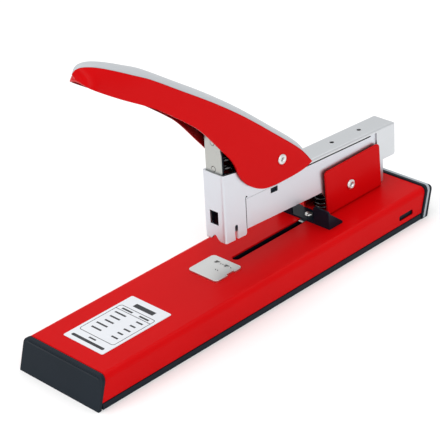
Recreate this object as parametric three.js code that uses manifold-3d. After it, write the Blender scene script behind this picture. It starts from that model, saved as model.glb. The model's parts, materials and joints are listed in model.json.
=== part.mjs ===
// Heavy duty stapler: a long pressed steel base, a hinged magazine head and a long lever handle.
// Millimetres, +Z up. The origin is the centre of the footprint on the desk. +X runs from the paper
// end to the hinge end, and +Y points away from the side that carries the rivet heads in view.
// The head is drawn level around its hinge and then tilted; the handle is drawn along its own chord.

import * as THREE from "three";
import { mergeVertices } from "three/addons/utils/BufferGeometryUtils.js";
import Module from "manifold-3d";

const wasm = await Module();
wasm.setup();

// Driving sizes

const RIGHT_ANGLE = Math.PI / 2;
const round_sides = 24;
const seat_gap = 0.3;
const overrun = 5;
const weld_distance = 1e-4;

const base = {
  length: 287,
  rim_width: 69.8,
  shell_inset: 0.5,
  height: 20,
  wall: 1.2,
  corner_radius: 4,
  front_lean: 7,
  rear_lean: 6.5,
};

const tray = {
  floor: 2.4,
  rim_height: 3.6,
  rim_wall: 2.2,
};

const cap = {
  front_wall: 2.2,
  rear_wall: 5.6,
  rear_proud: 0.8,
  plug_depth: 6,
  plug_wall: 2,
};

const anvil = {
  length: 22,
  width: 25,
  thickness: 1.2,
  corner_radius: 2.5,
  groove_length: 2.4,
  groove_width: 4.4,
  groove_depth: 0.5,
  groove_spacing: 8.2,
  groove_from_rear: 5,
  notch_length: 6,
  notch_depth: 1.4,
  notch_from_rear: 4,
  rivet_radius: 2,
  rivet_spacing: 14,
  rivet_from_front: 6,
  behind_nose: 8.3,
};

const slot = {
  width: 5.2,
  front_from_anvil: 4.5,
  rear_from_bracket: 3.9,
  play: 0.2,
};

const label = {
  length: 53.5,
  width: 34.5,
  thickness: 0.3,
  corner_radius: 1.2,
  front_room_share: 0.26,
};

const vent = {
  length: 12.8,
  height: 2.4,
  corner_radius: 0.7,
  centre_from_rear: 25.6,
  centre_height: 8.5,
  tongue_margin: 1.5,
};

const spine = {
  front_from_anvil: 4,
  half_width: 15,
  thickness: 1.5,
  flange_width: 7,
  corner_radius: 2.4,
  rear_from_end: 13,
};

const screw = {
  head_radius: 2.8,
  head_height: 1.2,
  shank_radius: 1.5,
  recess_clearance: 0.3,
  inset: 16,
};

const guide = {
  plate_length: 11.2,
  gusset_length: 12,
  half_width: 22.7,
  thickness: 1.3,
  ear_height: 12.2,
  ear_inner: 9.6,
  ear_corner_radius: 1.6,
  rivet_from_front: 5.4,
  head_radius: 2.6,
  head_height: 1.3,
  shank_radius: 2.1,
  washer_radius: 5,
  washer_thickness: 1,
};

const bracket = {
  outer_half_width: 10.4,
  wall: 1.3,
  bend_radius: 2.2,
  front_from_hinge: 22.2,
  rear_from_hinge: 28.3,
  height: 31,
  corner_radius: 2.6,
  rivet_radius: 2.2,
  rivet_head_radius: 3.6,
  rivet_head_height: 1.4,
  rivet_front_share: 0.46,
  rivet_rear_share: 0.8,
};

const hinge = {
  from_rear: 49.5,
  above_base: 13.6,
  tilt_deg: 3.2,
  pin_radius: 2.4,
  bore_clearance: 0.3,
  head_radius: 3.4,
  head_height: 0.9,
  dimple_radius: 1.5,
  dimple_depth: 0.7,
};

const frame = {
  outer_half_width: 7.9,
  inner_half_width: 6.9,
  housing_half_width: 8.6,
  front_reach: 108.5,
  front_wall: 1.2,
  corner_radius: 1.7,
  housing_bottom: -1,
  post_top: 43.5,
  post_length: 11.8,
  joggle_from_front: 18,
  joggle_radius: 1.4,
  step_height: 23,
  belly: 2.2,
  neck_from_hinge: 24,
  heel_drop: 7,
  stop_from_hinge: 22,
  stop_drop: 10.4,
  rear_reach: 33.5,
  top: 26.9,
  deck: 30,
  ear_radius: 7.4,
};

const window_cut = {
  width: 7,
  bottom: 10,
  top: 18.7,
};

const arch_cut = {
  width: 9.6,
  height: 4,
};

const key_slot = {
  from_front: 9.6,
  width: 2.4,
  top: 8.6,
};

const side_window = {
  from_front: 43,
  height: 19.6,
  length: 6,
  tall: 3.4,
};

const dimple = {
  from_front: 18.9,
  height: 23.4,
  radius: 0.9,
  depth: 0.5,
};

const lever_pin = {
  from_hinge: 60.2,
  height: 38.3,
};

const rail = {
  half_width: 5.6,
  wall: 1,
  bridge: 1.2,
  bottom: 3.4,
  top: 18.2,
  from_front: 4.3,
};

const strip = {
  length: 32,
  crown: 1,
  leg: 0.6,
  half_width: 6.5,
  leg_bottom: 3.2,
};

const follower = {
  length: 16,
  half_width: 6.5,
  top: 25.4,
  leg_bottom: 6,
};

const rod = {
  radius: 1.2,
  height: 22.2,
  stop_radius: 2.1,
  stop_length: 1.6,
};

const spring_sleeve = {
  outer_radius: 3,
  inner_radius: 2,
};

const cover = {
  half_width: 8.7,
  wall: 0.6,
  top: 27.9,
  lip_bottom: 25.8,
  front_from_hinge: 50,
  rear_reach: 44,
  panel_length: 17,
  panel_bottom: 5.4,
  corner_radius: 1.2,
  panel_corner_radius: 1.5,
  hole_radius: 1.5,
  hole_front_from_hinge: -5.5,
  hole_rear_from_hinge: 19.7,
};

const blade = {
  half_width: 6.5,
  thickness: 1,
  bottom: 24,
  top: 67.5,
};

const carrier = {
  half_width: 6.1,
  wall: 1.2,
  bottom: 38,
  shelf_top: 67,
  shelf_length: 14,
  ridge_from_front: 8.3,
  nose_radius: 2,
  nose_rise: 4.2,
  rivet_radius: 1.5,
  rivet_low: 45.6,
  rivet_high: 62.2,
};

const deck = {
  bottom: 20.8,
  thickness: 1.2,
  length: 22,
  post_radius: 2.6,
  post_height: 15,
};

const lever_spring = {
  from_front: 11,
  coil_radius: 4.9,
  wire_radius: 0.8,
  turns: 9,
};

const return_spring = {
  from_hinge: 14.5,
  coil_radius: 5.6,
  wire_radius: 0.7,
  turns: 4.5,
};

const handle = {
  outer_half_width: 10.2,
  wall: 1.2,
  lift_deg: 32.75,
  swing_deg: 30,
  cheek: 80,
  grip: 94.2,
  tail: 27.9,
  crest: 16.5,
  belly: 21.3,
  rim_setback: 4.4,
  rim_round: 8.5,
  spoon_length: 45,
  spoon_power: 1.6,
  shoulder: 4,
  shoulder_inset: 0.4,
  cover_height: 3.8,
  cover_nose_power: 0.4,
  cover_power: 1.8,
  cover_tail_gap: 10,
  web_tail_gap: 4.6,
};

const cam = {
  half_width: 7.5,
  margin: 4,
};

// Materials

const paint = (color, roughness, metalness) =>
  new THREE.MeshStandardMaterial({ color, roughness, metalness });

const red_paint = paint(0xd21f23, 0.25, 0.1);
const black_plastic = paint(0x20282f, 0.45, 0);
const grey_plastic = paint(0xc5c9cc, 0.4, 0);
const nickel_plate = paint(0xd7d8de, 0.25, 0.9);
const zinc_plate = paint(0xc6c8c6, 0.35, 0.85);
const bright_steel = paint(0xcdd0d0, 0.3, 0.9);
const black_steel = paint(0x141619, 0.35, 0.6);
const white_paper = paint(0xf2f2f0, 0.6, 0);

// Solids: closed geometries become manifolds for joining and cutting

function solidOf(geometry) {
  const bare = geometry.clone();
  bare.deleteAttribute("normal");
  bare.deleteAttribute("uv");
  const merged = mergeVertices(bare, weld_distance);
  return new wasm.Manifold(new wasm.Mesh({
    numProp: 3,
    vertProperties: merged.attributes.position.array,
    triVerts: new Uint32Array(merged.index.array),
  }));
}

function geometryOf(solid) {
  const mesh = solid.getMesh();
  const geometry = new THREE.BufferGeometry();
  geometry.setAttribute("position", new THREE.BufferAttribute(mesh.vertProperties, 3));
  geometry.setIndex(new THREE.BufferAttribute(mesh.triVerts, 1));
  geometry.computeVertexNormals();
  return geometry;
}

function piece(name, solid, material) {
  const mesh = new THREE.Mesh(geometryOf(solid), material);
  mesh.name = name;
  return mesh;
}

// Alike fasteners, each a piece of its own with a number
const alike = (name, solids, material) => solids.map((solid, i) => piece(`${name}_${i + 1}`, solid, material));

const unite = (first, ...rest) => rest.reduce((sum, solid) => sum.add(solid), first);
const cut = (first, ...rest) => rest.reduce((left, solid) => left.subtract(solid), first);

// A box between two limits on each axis
function block([x0, x1], [y0, y1], [z0, z1]) {
  const geometry = new THREE.BoxGeometry(x1 - x0, y1 - y0, z1 - z0);
  geometry.translate((x0 + x1) / 2, (y0 + y1) / 2, (z0 + z1) / 2);
  return solidOf(geometry);
}

// A flat outline pushed along one axis between two limits
const AXES = {
  x: new THREE.Matrix4().makeBasis(
    new THREE.Vector3(0, 1, 0), new THREE.Vector3(0, 0, 1), new THREE.Vector3(1, 0, 0)),
  y: new THREE.Matrix4().makeBasis(
    new THREE.Vector3(1, 0, 0), new THREE.Vector3(0, 0, 1), new THREE.Vector3(0, -1, 0)),
  z: new THREE.Matrix4(),
};

function push(shape, axis, [low, high], curveSegments = 6) {
  const geometry = new THREE.ExtrudeGeometry(
    shape, { depth: high - low, bevelEnabled: false, curveSegments });
  geometry.translate(0, 0, axis === "y" ? -high : low);
  geometry.applyMatrix4(AXES[axis]);
  return solidOf(geometry);
}

const both = (half) => [-half, half];

function outline(points) {
  return new THREE.Shape(points.map(([x, y]) => new THREE.Vector2(x, y)));
}

// A rectangle with its own radius at each corner: low-left, low-right, high-right, high-left
function rounded([x0, x1], [y0, y1], radii) {
  const [a, b, c, d] = Array.isArray(radii) ? radii : [radii, radii, radii, radii];
  const shape = new THREE.Shape();
  shape.moveTo(x0 + a, y0);
  shape.lineTo(x1 - b, y0);
  if (b) shape.absarc(x1 - b, y0 + b, b, -RIGHT_ANGLE, 0);
  shape.lineTo(x1, y1 - c);
  if (c) shape.absarc(x1 - c, y1 - c, c, 0, RIGHT_ANGLE);
  shape.lineTo(x0 + d, y1);
  if (d) shape.absarc(x0 + d, y1 - d, d, RIGHT_ANGLE, 2 * RIGHT_ANGLE);
  shape.lineTo(x0, y0 + a);
  if (a) shape.absarc(x0 + a, y0 + a, a, 2 * RIGHT_ANGLE, 3 * RIGHT_ANGLE);
  return shape;
}

// A closed outline with each corner of a polygon rounded by its own radius
function softened(corners) {
  const shape = new THREE.Shape();
  corners.forEach(([x, y, radius = 0], i) => {
    const here = new THREE.Vector2(x, y);
    const [px, py] = corners[(i + corners.length - 1) % corners.length];
    const [nx, ny] = corners[(i + 1) % corners.length];
    const back = new THREE.Vector2(px, py).sub(here);
    const on = new THREE.Vector2(nx, ny).sub(here);
    const turn = Math.abs(back.angleTo(on));
    const run = radius ? radius / Math.tan(turn / 2) : 0;
    const start = here.clone().addScaledVector(back.normalize(), run);
    const end = here.clone().addScaledVector(on.normalize(), run);
    if (i === 0) shape.moveTo(start.x, start.y);
    else shape.lineTo(start.x, start.y);
    if (radius) shape.quadraticCurveTo(here.x, here.y, end.x, end.y);
  });
  shape.closePath();
  return shape;
}

// A round bar along an axis between two limits
function bar(radius, axis, [low, high], at = [0, 0, 0], sides = round_sides) {
  const geometry = new THREE.CylinderGeometry(radius, radius, high - low, sides);
  geometry.translate(0, (low + high) / 2, 0);
  if (axis === "x") geometry.rotateZ(-RIGHT_ANGLE);
  if (axis === "z") geometry.rotateX(RIGHT_ANGLE);
  geometry.translate(...at);
  return solidOf(geometry);
}

// A turned piece along Y or Z from a profile of radius and height pairs that closes on its axis
function turned(profile, axis, at, sides = round_sides) {
  const points = profile.map(([radius, height]) => new THREE.Vector2(radius, height));
  const geometry = new THREE.LatheGeometry(points, sides);
  if (axis === "z") geometry.rotateX(RIGHT_ANGLE);
  geometry.translate(...at);
  return solidOf(geometry);
}

// A tubular rivet across the object: two domed heads with a dimple in each
function crossRivet(half_grip, radius, x, z) {
  const face = half_grip + hinge.head_height;
  const rim = (hinge.head_radius + hinge.dimple_radius) / 2;
  const half = [
    [hinge.dimple_radius / 2, face - hinge.dimple_depth],
    [hinge.dimple_radius, face - hinge.head_height / 4],
    [rim, face],
    [hinge.head_radius, half_grip + hinge.head_height / 3],
    [hinge.head_radius, half_grip],
    [radius, half_grip],
  ];
  const pit = face - hinge.dimple_depth;
  const near = half.map(([r, y]) => [r, -y]);
  return turned([[0, -pit], ...near, ...half.toReversed(), [0, pit]], "y", [x, 0, z]);
}

// One unbroken wire wound up along +Z, with straight ends that stand square on their seats
const curl_steps = 8;
const wire_sides = 5;

function coil(name, { coil_radius, wire_radius, turns }, length, [x, y, z]) {
  const wire = 2 * wire_radius;
  const rise = length - 2 * wire;
  const steps = Math.round(turns * curl_steps);
  const path = [new THREE.Vector3(coil_radius, 0, 0)];
  for (let i = 0; i <= steps; i += 1) {
    const angle = (2 * Math.PI * i) / curl_steps;
    path.push(new THREE.Vector3(
      coil_radius * Math.cos(angle), coil_radius * Math.sin(angle), wire + (rise * i) / steps));
  }
  const last = path.at(-1);
  path.push(new THREE.Vector3(last.x, last.y, length));
  printLeastGap(name, path, wire);
  return wireAlong(path, wire_radius).translate([x, y, z]);
}

// Rings of points carried along the path without twist, with a fan at each end
function wireAlong(path, radius) {
  const positions = [];
  const index = [];
  let side = new THREE.Vector3(0, 1, 0);
  path.forEach((point, i) => {
    const before = path[Math.max(i - 1, 0)];
    const after = path[Math.min(i + 1, path.length - 1)];
    const arriving = point.clone().sub(before).normalize();
    const leaving = after.clone().sub(point).normalize();
    const along = arriving.add(leaving).normalize();
    side = side.addScaledVector(along, -side.dot(along)).normalize();
    const across = along.clone().cross(side);
    for (let k = 0; k < wire_sides; k += 1) {
      const angle = (2 * Math.PI * k) / wire_sides;
      const place = point.clone()
        .addScaledVector(side, radius * Math.cos(angle))
        .addScaledVector(across, radius * Math.sin(angle));
      positions.push(place.x, place.y, place.z);
    }
    if (i > 0) {
      for (let k = 0; k < wire_sides; k += 1) {
        const a = (i - 1) * wire_sides + k;
        const b = (i - 1) * wire_sides + ((k + 1) % wire_sides);
        index.push(a, b, b + wire_sides, a, b + wire_sides, a + wire_sides);
      }
    }
  });
  const end = (path.length - 1) * wire_sides;
  for (let k = 1; k < wire_sides - 1; k += 1) {
    index.push(0, k + 1, k);
    index.push(end, end + k, end + k + 1);
  }
  const geometry = new THREE.BufferGeometry();
  geometry.setAttribute("position", new THREE.Float32BufferAttribute(positions, 3));
  geometry.setIndex(index);
  return solidOf(geometry);
}

// The clear space between a wound wire and its own neighbouring turns
function printLeastGap(name, path, wire) {
  let least = Infinity;
  const apart = curl_steps / 2;
  for (let i = 0; i < path.length; i += 1) {
    for (let j = i + apart; j < path.length; j += 1) {
      least = Math.min(least, path[i].distanceTo(path[j]) - wire);
    }
  }
  console.log(`${name}: least gap between turns ${least.toFixed(2)} mm`);
}

// Places on the base

const front_foot = -base.length / 2;
const rear_foot = base.length / 2 - base.rear_lean;
const front_top = front_foot + base.front_lean;
const rear_top = base.length / 2;
const web_bottom = base.height;
const shell_half = base.rim_width / 2 - base.shell_inset;
const rim_half = base.rim_width / 2;
const under_shell = base.height - base.wall;
const shell_bottom = tray.rim_height + seat_gap;

const hinge_x = rear_top - hinge.from_rear;
const hinge_z = base.height + hinge.above_base;
const web_top = web_bottom + bracket.wall;
const bracket_front = hinge_x - bracket.front_from_hinge;
const bracket_rear = hinge_x + bracket.rear_from_hinge;
const bracket_inner = bracket.outer_half_width - bracket.wall;

const anvil_rear = hinge_x - frame.front_reach + anvil.behind_nose;
const anvil_front = anvil_rear - anvil.length;
const anvil_top = base.height + anvil.thickness;
const slot_front = anvil_rear + slot.front_from_anvil;
const slot_rear = bracket_front - slot.rear_from_bracket;
const vent_x = rear_top - vent.centre_from_rear;

// The side view of the base between its two leaning ends, drawn in by a margin at each end
function leaningSide(front_margin, rear_margin, top) {
  const rise = top / base.height;
  return outline([
    [front_foot + front_margin, 0],
    [rear_foot - rear_margin, 0],
    [rear_foot - rear_margin + base.rear_lean * rise, top],
    [front_foot + front_margin + base.front_lean * rise, top],
  ]);
}

// The cross-section of a box with its two top corners rounded
const arched = (half, bottom, top, radius) => rounded(both(half), [bottom, top], [0, 0, radius, radius]);

const slotCut = (half_width, bottom, top) => push(
  rounded([slot_front, slot_rear], both(half_width), half_width * 0.98), "z", [bottom, top]);

const anvil_rivet_x = anvil_front + anvil.rivet_from_front;
const anvil_rivet_ys = both(anvil.rivet_spacing / 2);
const span = bracket_rear - bracket_front;
const bracket_rivet_xs = [
  bracket_front + span * bracket.rivet_front_share,
  bracket_front + span * bracket.rivet_rear_share,
];

function makeBaseShell() {
  const long = both(base.length);
  const skin = cut(
    push(arched(shell_half, shell_bottom, base.height, base.corner_radius), "x", long),
    push(arched(shell_half - base.wall, -overrun, under_shell, base.corner_radius - base.wall), "x", long),
  );
  const body = skin.intersect(push(
    leaningSide(cap.front_wall + seat_gap, cap.rear_wall + seat_gap, base.height + overrun),
    "y", both(rim_half)));
  const vents = push(rounded(
    [vent_x - vent.length / 2, vent_x + vent.length / 2],
    [vent.centre_height - vent.height / 2, vent.centre_height + vent.height / 2],
    vent.corner_radius), "y", both(rim_half));
  const through = [under_shell - overrun, base.height + overrun];
  const rivet_holes = anvil_rivet_ys.map(
    (y) => bar(anvil.rivet_radius + seat_gap, "z", through, [anvil_rivet_x, y, 0]));
  const bracket_holes = bracket_rivet_xs.map(
    (x) => bar(bracket.rivet_radius + seat_gap, "z", through, [x, 0, 0]));
  const slot_cut = slotCut(slot.width / 2, ...through);
  return piece("base_shell", cut(body, vents, slot_cut, ...rivet_holes, ...bracket_holes), red_paint);
}

const cap_inside_front = front_foot + cap.front_wall;
const cap_inside_rear = rear_foot - cap.rear_wall;
const screw_xs = [front_foot + base.front_lean + screw.inset, rear_foot - screw.inset];
const spine_flange_y = spine.half_width + spine.flange_width / 2;
const spine_front = anvil_front - spine.front_from_anvil;
const spine_rear = rear_foot - spine.rear_from_end;
const spine_screw_xs = [spine_front + screw.inset / 2, spine_rear - screw.inset / 2];

function makeBaseTray() {
  const inside = [cap_inside_front + cap.plug_depth / 4, cap_inside_rear - seat_gap];
  const whole = block(
    [cap_inside_front + base.front_lean * tray.rim_height / base.height + seat_gap, inside[1]],
    both(rim_half), [0, tray.rim_height]);
  const hollow = block(both(base.length), both(rim_half - tray.rim_wall), [tray.floor, tray.rim_height + overrun]);
  const recesses = screwPlaces().map(([x, y]) => bar(
    screw.head_radius + screw.recess_clearance, "z", [-overrun, screw.head_height + seat_gap], [x, y, 0]));
  const shanks = screwPlaces().map(([x, y]) => bar(
    screw.shank_radius + screw.recess_clearance, "z", [-overrun, tray.rim_height + overrun], [x, y, 0]));
  return piece("base_tray", cut(whole, hollow, ...recesses, ...shanks), black_plastic);
}

function screwPlaces() {
  return spine_screw_xs.flatMap((x) => both(spine_flange_y).map((y) => [x, y]));
}

function makeTrayScrews() {
  const top = tray.floor + seat_gap + spine.thickness + screw.head_height;
  const screws = screwPlaces().map(([x, y]) => unite(
    bar(screw.head_radius, "z", [seat_gap / 2, seat_gap / 2 + screw.head_height], [x, y, 0]),
    bar(screw.shank_radius, "z", [seat_gap, top], [x, y, 0]),
  ));
  return alike("tray_screw", screws, zinc_plate);
}

// Steel spine under the shell: it carries the anvil, the slot edges and the hinge bracket
function makeSpine() {
  const top = under_shell - seat_gap;
  const foot = tray.floor + seat_gap;
  const long = [spine_front, spine_rear];
  const channel = cut(
    push(arched(spine.half_width, foot, top, spine.corner_radius), "x", long),
    push(arched(spine.half_width - spine.thickness, foot - overrun, top - spine.thickness,
      spine.corner_radius - spine.thickness), "x", long));
  const wing = (side) => block(long, side > 0
    ? [spine.half_width - spine.thickness, spine.half_width + spine.flange_width]
    : [-spine.half_width - spine.flange_width, -spine.half_width + spine.thickness],
  [foot, foot + spine.thickness]);
  const holes = screwPlaces().map(([x, y]) => bar(
    screw.shank_radius + screw.recess_clearance, "z", [0, top], [x, y, 0]));
  const through = [top - spine.thickness - overrun, top + overrun];
  const rivet_holes = [
    ...anvil_rivet_ys.map((y) => bar(anvil.rivet_radius + seat_gap, "z", through, [anvil_rivet_x, y, 0])),
    ...bracket_rivet_xs.map((x) => bar(bracket.rivet_radius + seat_gap, "z", through, [x, 0, 0])),
  ];
  const slot_cut = slotCut(slot.width / 2 + seat_gap, ...through);
  return piece("base_spine", cut(unite(channel, wing(1), wing(-1)), ...holes, ...rivet_holes, slot_cut),
    zinc_plate);
}

function makeFrontCap() {
  const face = push(arched(rim_half, 0, base.height, base.corner_radius), "x", both(base.length))
    .intersect(push(outline([
      [front_foot, 0],
      [front_foot + cap.front_wall, 0],
      [front_top + cap.front_wall, base.height],
      [front_top, base.height],
    ]), "y", both(base.length)));
  return piece("front_end_cap", unite(face, capPlug(front_top + cap.front_wall, 1)), black_plastic);
}

// A hollow plug that grips the inside of the shell end
function capPlug(root, direction) {
  const half = shell_half - base.wall - seat_gap;
  const top = under_shell - seat_gap;
  const bottom = tray.rim_height + seat_gap;
  const radius = base.corner_radius - base.wall;
  const run = direction > 0
    ? [root - base.front_lean / 2, root + cap.plug_depth]
    : [root - cap.plug_depth, root + base.rear_lean / 2];
  const whole = push(arched(half, bottom, top, radius), "x", run);
  const hollow = direction > 0 ? [root + seat_gap, run[1] + overrun] : [run[0] - overrun, root - seat_gap];
  return cut(whole, push(arched(half - cap.plug_wall, bottom + cap.plug_wall, top - cap.plug_wall,
    radius / 2), "x", hollow));
}

function makeRearCap() {
  const half = rim_half + cap.rear_proud / 2;
  const top = base.height + cap.rear_proud;
  const face = push(arched(half, 0, top, base.corner_radius), "x", both(base.length))
    .intersect(push(softened([
      [rear_foot - cap.rear_wall, 0],
      [rear_foot, 0],
      [rear_top, top, base.corner_radius / 2],
      [rear_top - cap.rear_wall, top, cap.rear_proud / 2],
    ]), "y", both(base.length)));
  return piece("rear_end_cap",
    unite(face, capPlug(rear_foot - cap.rear_wall, -1), ...snapTongues()), black_plastic);
}

// Tongues from the rear cap's plug that lie behind the vents and close them from inside
function snapTongues() {
  const outer = shell_half - base.wall - seat_gap;
  const run = [vent_x - vent.length / 2 - vent.tongue_margin, cap_inside_rear - cap.plug_depth / 2];
  const tall = both(vent.height / 2 + vent.tongue_margin).map((z) => vent.centre_height + z);
  return [-1, 1].map((side) => block(run,
    side > 0 ? [outer - cap.plug_wall, outer] : [-outer, cap.plug_wall - outer], tall));
}

function makeAnvil() {
  const whole = push(rounded([anvil_front, anvil_rear], both(anvil.width / 2), anvil.corner_radius),
    "z", [base.height, anvil_top]);
  const groove_x = anvil_rear - anvil.groove_from_rear;
  const grooves = both(anvil.groove_spacing / 2).map((y) => push(rounded(
    [groove_x - anvil.groove_length / 2, groove_x + anvil.groove_length / 2],
    [y - anvil.groove_width / 2, y + anvil.groove_width / 2],
    anvil.groove_length / 3), "z", [anvil_top - anvil.groove_depth, anvil_top + overrun], 3));
  const notch_x = anvil_rear - anvil.notch_from_rear;
  const notch = block([notch_x - anvil.notch_length, notch_x],
    [-anvil.width, -anvil.width / 2 + anvil.notch_depth], [base.height - overrun, anvil_top + overrun]);
  const rivet_holes = anvil_rivet_ys.map((y) => bar(anvil.rivet_radius + seat_gap, "z",
    [base.height - overrun, anvil_top - anvil.groove_depth], [anvil_rivet_x, y, 0]));
  return piece("anvil_plate", cut(whole, ...grooves, notch, ...rivet_holes), bright_steel);
}

function makeAnvilRivets() {
  const clench = under_shell - 2 * seat_gap - spine.thickness;
  const rivets = anvil_rivet_ys.map((y) => unite(
    bar(anvil.rivet_radius, "z",
      [clench - anvil.rivet_radius / 2, anvil_top - anvil.groove_depth - seat_gap], [anvil_rivet_x, y, 0]),
    bar(anvil.rivet_radius * 1.7, "z", [clench - anvil.rivet_radius / 2, clench], [anvil_rivet_x, y, 0]),
  ));
  return alike("anvil_rivet", rivets, zinc_plate);
}

function makeLabel() {
  const start = front_top + (anvil_front - front_top - label.length) * label.front_room_share;
  return piece("capacity_label", push(rounded([start, start + label.length], both(label.width / 2),
    label.corner_radius), "z", [base.height, base.height + label.thickness], 3), white_paper);
}

// The paper guide slides in the slot: a low plate with an upright ear on each side of the head
const guide_rivet_x = slot_rear - slot.width / 2 - slot.play;
const guide_front = guide_rivet_x - guide.rivet_from_front;
const guide_floor = base.height + seat_gap / 3;
const guide_plate_top = guide_floor + guide.thickness;

function makePaperGuide() {
  const high = guide_plate_top;
  const plate = block([guide_front, guide_front + guide.plate_length], both(guide.half_width),
    [guide_floor, high]);
  const wings = [-1, 1].map((side) => block([guide_front, guide_front + guide.gusset_length],
    side > 0 ? [bracket.outer_half_width + 2 * seat_gap, guide.half_width]
      : [-guide.half_width, -bracket.outer_half_width - 2 * seat_gap], [guide_floor, high]));
  const ears = [-1, 1].map((side) => push(rounded(
    side > 0 ? [guide.ear_inner, guide.half_width] : [-guide.half_width, -guide.ear_inner],
    [guide_floor, base.height + guide.ear_height],
    [0, 0, guide.ear_corner_radius, guide.ear_corner_radius]),
  "x", [guide_front, guide_front + guide.thickness]));
  const shoulder = base.height + guide.ear_height - guide.ear_corner_radius;
  const gussets = [-1, 1].map((side) => push(outline([
    [guide_front + guide.thickness / 2, guide_floor],
    [guide_front + guide.gusset_length, guide_floor],
    [guide_front + guide.gusset_length, high],
    [guide_front + guide.thickness, shoulder],
    [guide_front + guide.thickness / 2, shoulder],
  ]), "y", side > 0
    ? [guide.half_width - guide.thickness, guide.half_width]
    : [-guide.half_width, -guide.half_width + guide.thickness]));
  const bore = bar(guide.shank_radius + seat_gap, "z", [0, base.height + guide.ear_height],
    [guide_rivet_x, 0, 0]);
  return piece("paper_guide", cut(unite(plate, ...wings, ...ears, ...gussets), bore), black_steel);
}

function makeGuideRivet() {
  const seat = guide_plate_top + seat_gap / 3;
  const low = under_shell - 3 * seat_gap - spine.thickness - guide.washer_thickness;
  const profile = [
    [0, low - guide.head_height],
    [guide.head_radius * 1.1, low - guide.head_height],
    [guide.head_radius * 1.1, low - seat_gap],
    [guide.shank_radius, low - seat_gap],
    [guide.shank_radius, seat],
    [guide.head_radius, seat],
    [guide.head_radius * 0.92, seat + guide.head_height * 0.5],
    [guide.head_radius * 0.6, seat + guide.head_height * 0.88],
    [0, seat + guide.head_height],
  ];
  return piece("guide_rivet", turned(profile, "z", [guide_rivet_x, 0, 0]), bright_steel);
}

function makeGuideWasher() {
  const top = under_shell - 2 * seat_gap - spine.thickness;
  const washer = cut(
    bar(guide.washer_radius, "z", [top - guide.washer_thickness, top], [guide_rivet_x, 0, 0]),
    bar(guide.shank_radius + seat_gap, "z", [0, base.height], [guide_rivet_x, 0, 0]));
  return piece("guide_spring_washer", washer, black_steel);
}

function makeBracket() {
  const high = base.height + bracket.height;
  const outer = rounded(both(bracket.outer_half_width), [web_bottom, high + overrun],
    [bracket.bend_radius, bracket.bend_radius, 0, 0]);
  const inner = rounded(both(bracket_inner), [web_top, high + 2 * overrun],
    [bracket.bend_radius - bracket.wall, bracket.bend_radius - bracket.wall, 0, 0]);
  const channel = cut(push(outer, "x", both(base.length)), push(inner, "x", both(base.length)));
  const side = rounded([bracket_front, bracket_rear], [web_bottom - overrun, high],
    [0, 0, bracket.corner_radius, bracket.corner_radius]);
  const bore = bar(hinge.pin_radius + hinge.bore_clearance, "y", both(base.rim_width), [hinge_x, 0, hinge_z]);
  const rivet_holes = bracket_rivet_xs.map((x) => bar(
    bracket.rivet_radius + seat_gap, "z", [0, web_top + overrun], [x, 0, 0]));
  const solid = channel.intersect(push(side, "y", both(base.rim_width)));
  return piece("hinge_bracket", cut(solid, bore, ...rivet_holes), red_paint);
}

function makeBracketRivets() {
  const clench = under_shell - 2 * seat_gap - spine.thickness;
  const seat = web_top + seat_gap / 3;
  const profile = [
    [0, clench - bracket.rivet_head_height],
    [bracket.rivet_head_radius, clench - bracket.rivet_head_height],
    [bracket.rivet_head_radius, clench],
    [bracket.rivet_radius, clench],
    [bracket.rivet_radius, seat],
    [bracket.rivet_head_radius, seat],
    [bracket.rivet_head_radius * 0.8, seat + bracket.rivet_head_height * 0.7],
    [0, seat + bracket.rivet_head_height],
  ];
  return alike("bracket_rivet", bracket_rivet_xs.map((x) => turned(profile, "z", [x, 0, 0])), zinc_plate);
}

const makeHingePin = () => piece("head_hinge_rivet",
  crossRivet(bracket.outer_half_width + seat_gap / 2, hinge.pin_radius, hinge_x, hinge_z), bright_steel);

function makeReturnSpring() {
  const seat = web_top + seat_gap;
  return piece("head_return_spring", coil("head_return_spring", return_spring,
    returnSpringLength(seat), [hinge_x - return_spring.from_hinge, 0, seat]), black_steel);
}

// The head's belly over the spring, found on the tilted head
function returnSpringLength(seat) {
  const tilt = THREE.MathUtils.degToRad(hinge.tilt_deg);
  const reach = return_spring.from_hinge - return_spring.coil_radius - return_spring.wire_radius;
  const ceiling = hinge_z + reach * Math.sin(tilt) + (rail.bottom - rail.bridge) * Math.cos(tilt);
  return ceiling - seat_gap - seat;
}

// Places on the head, drawn level around the hinge

const nose = -frame.front_reach;
const inside_nose = nose + frame.front_wall;
const channel_front = inside_nose + seat_gap;
const blade_rear = channel_front + blade.thickness;
const carrier_front = blade_rear + seat_gap;
const carrier_rear = carrier_front + carrier.wall;
const rail_front = nose + rail.from_front;
const lever_x = -lever_pin.from_hinge;
const pin_bore = hinge.pin_radius + hinge.bore_clearance;

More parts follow.
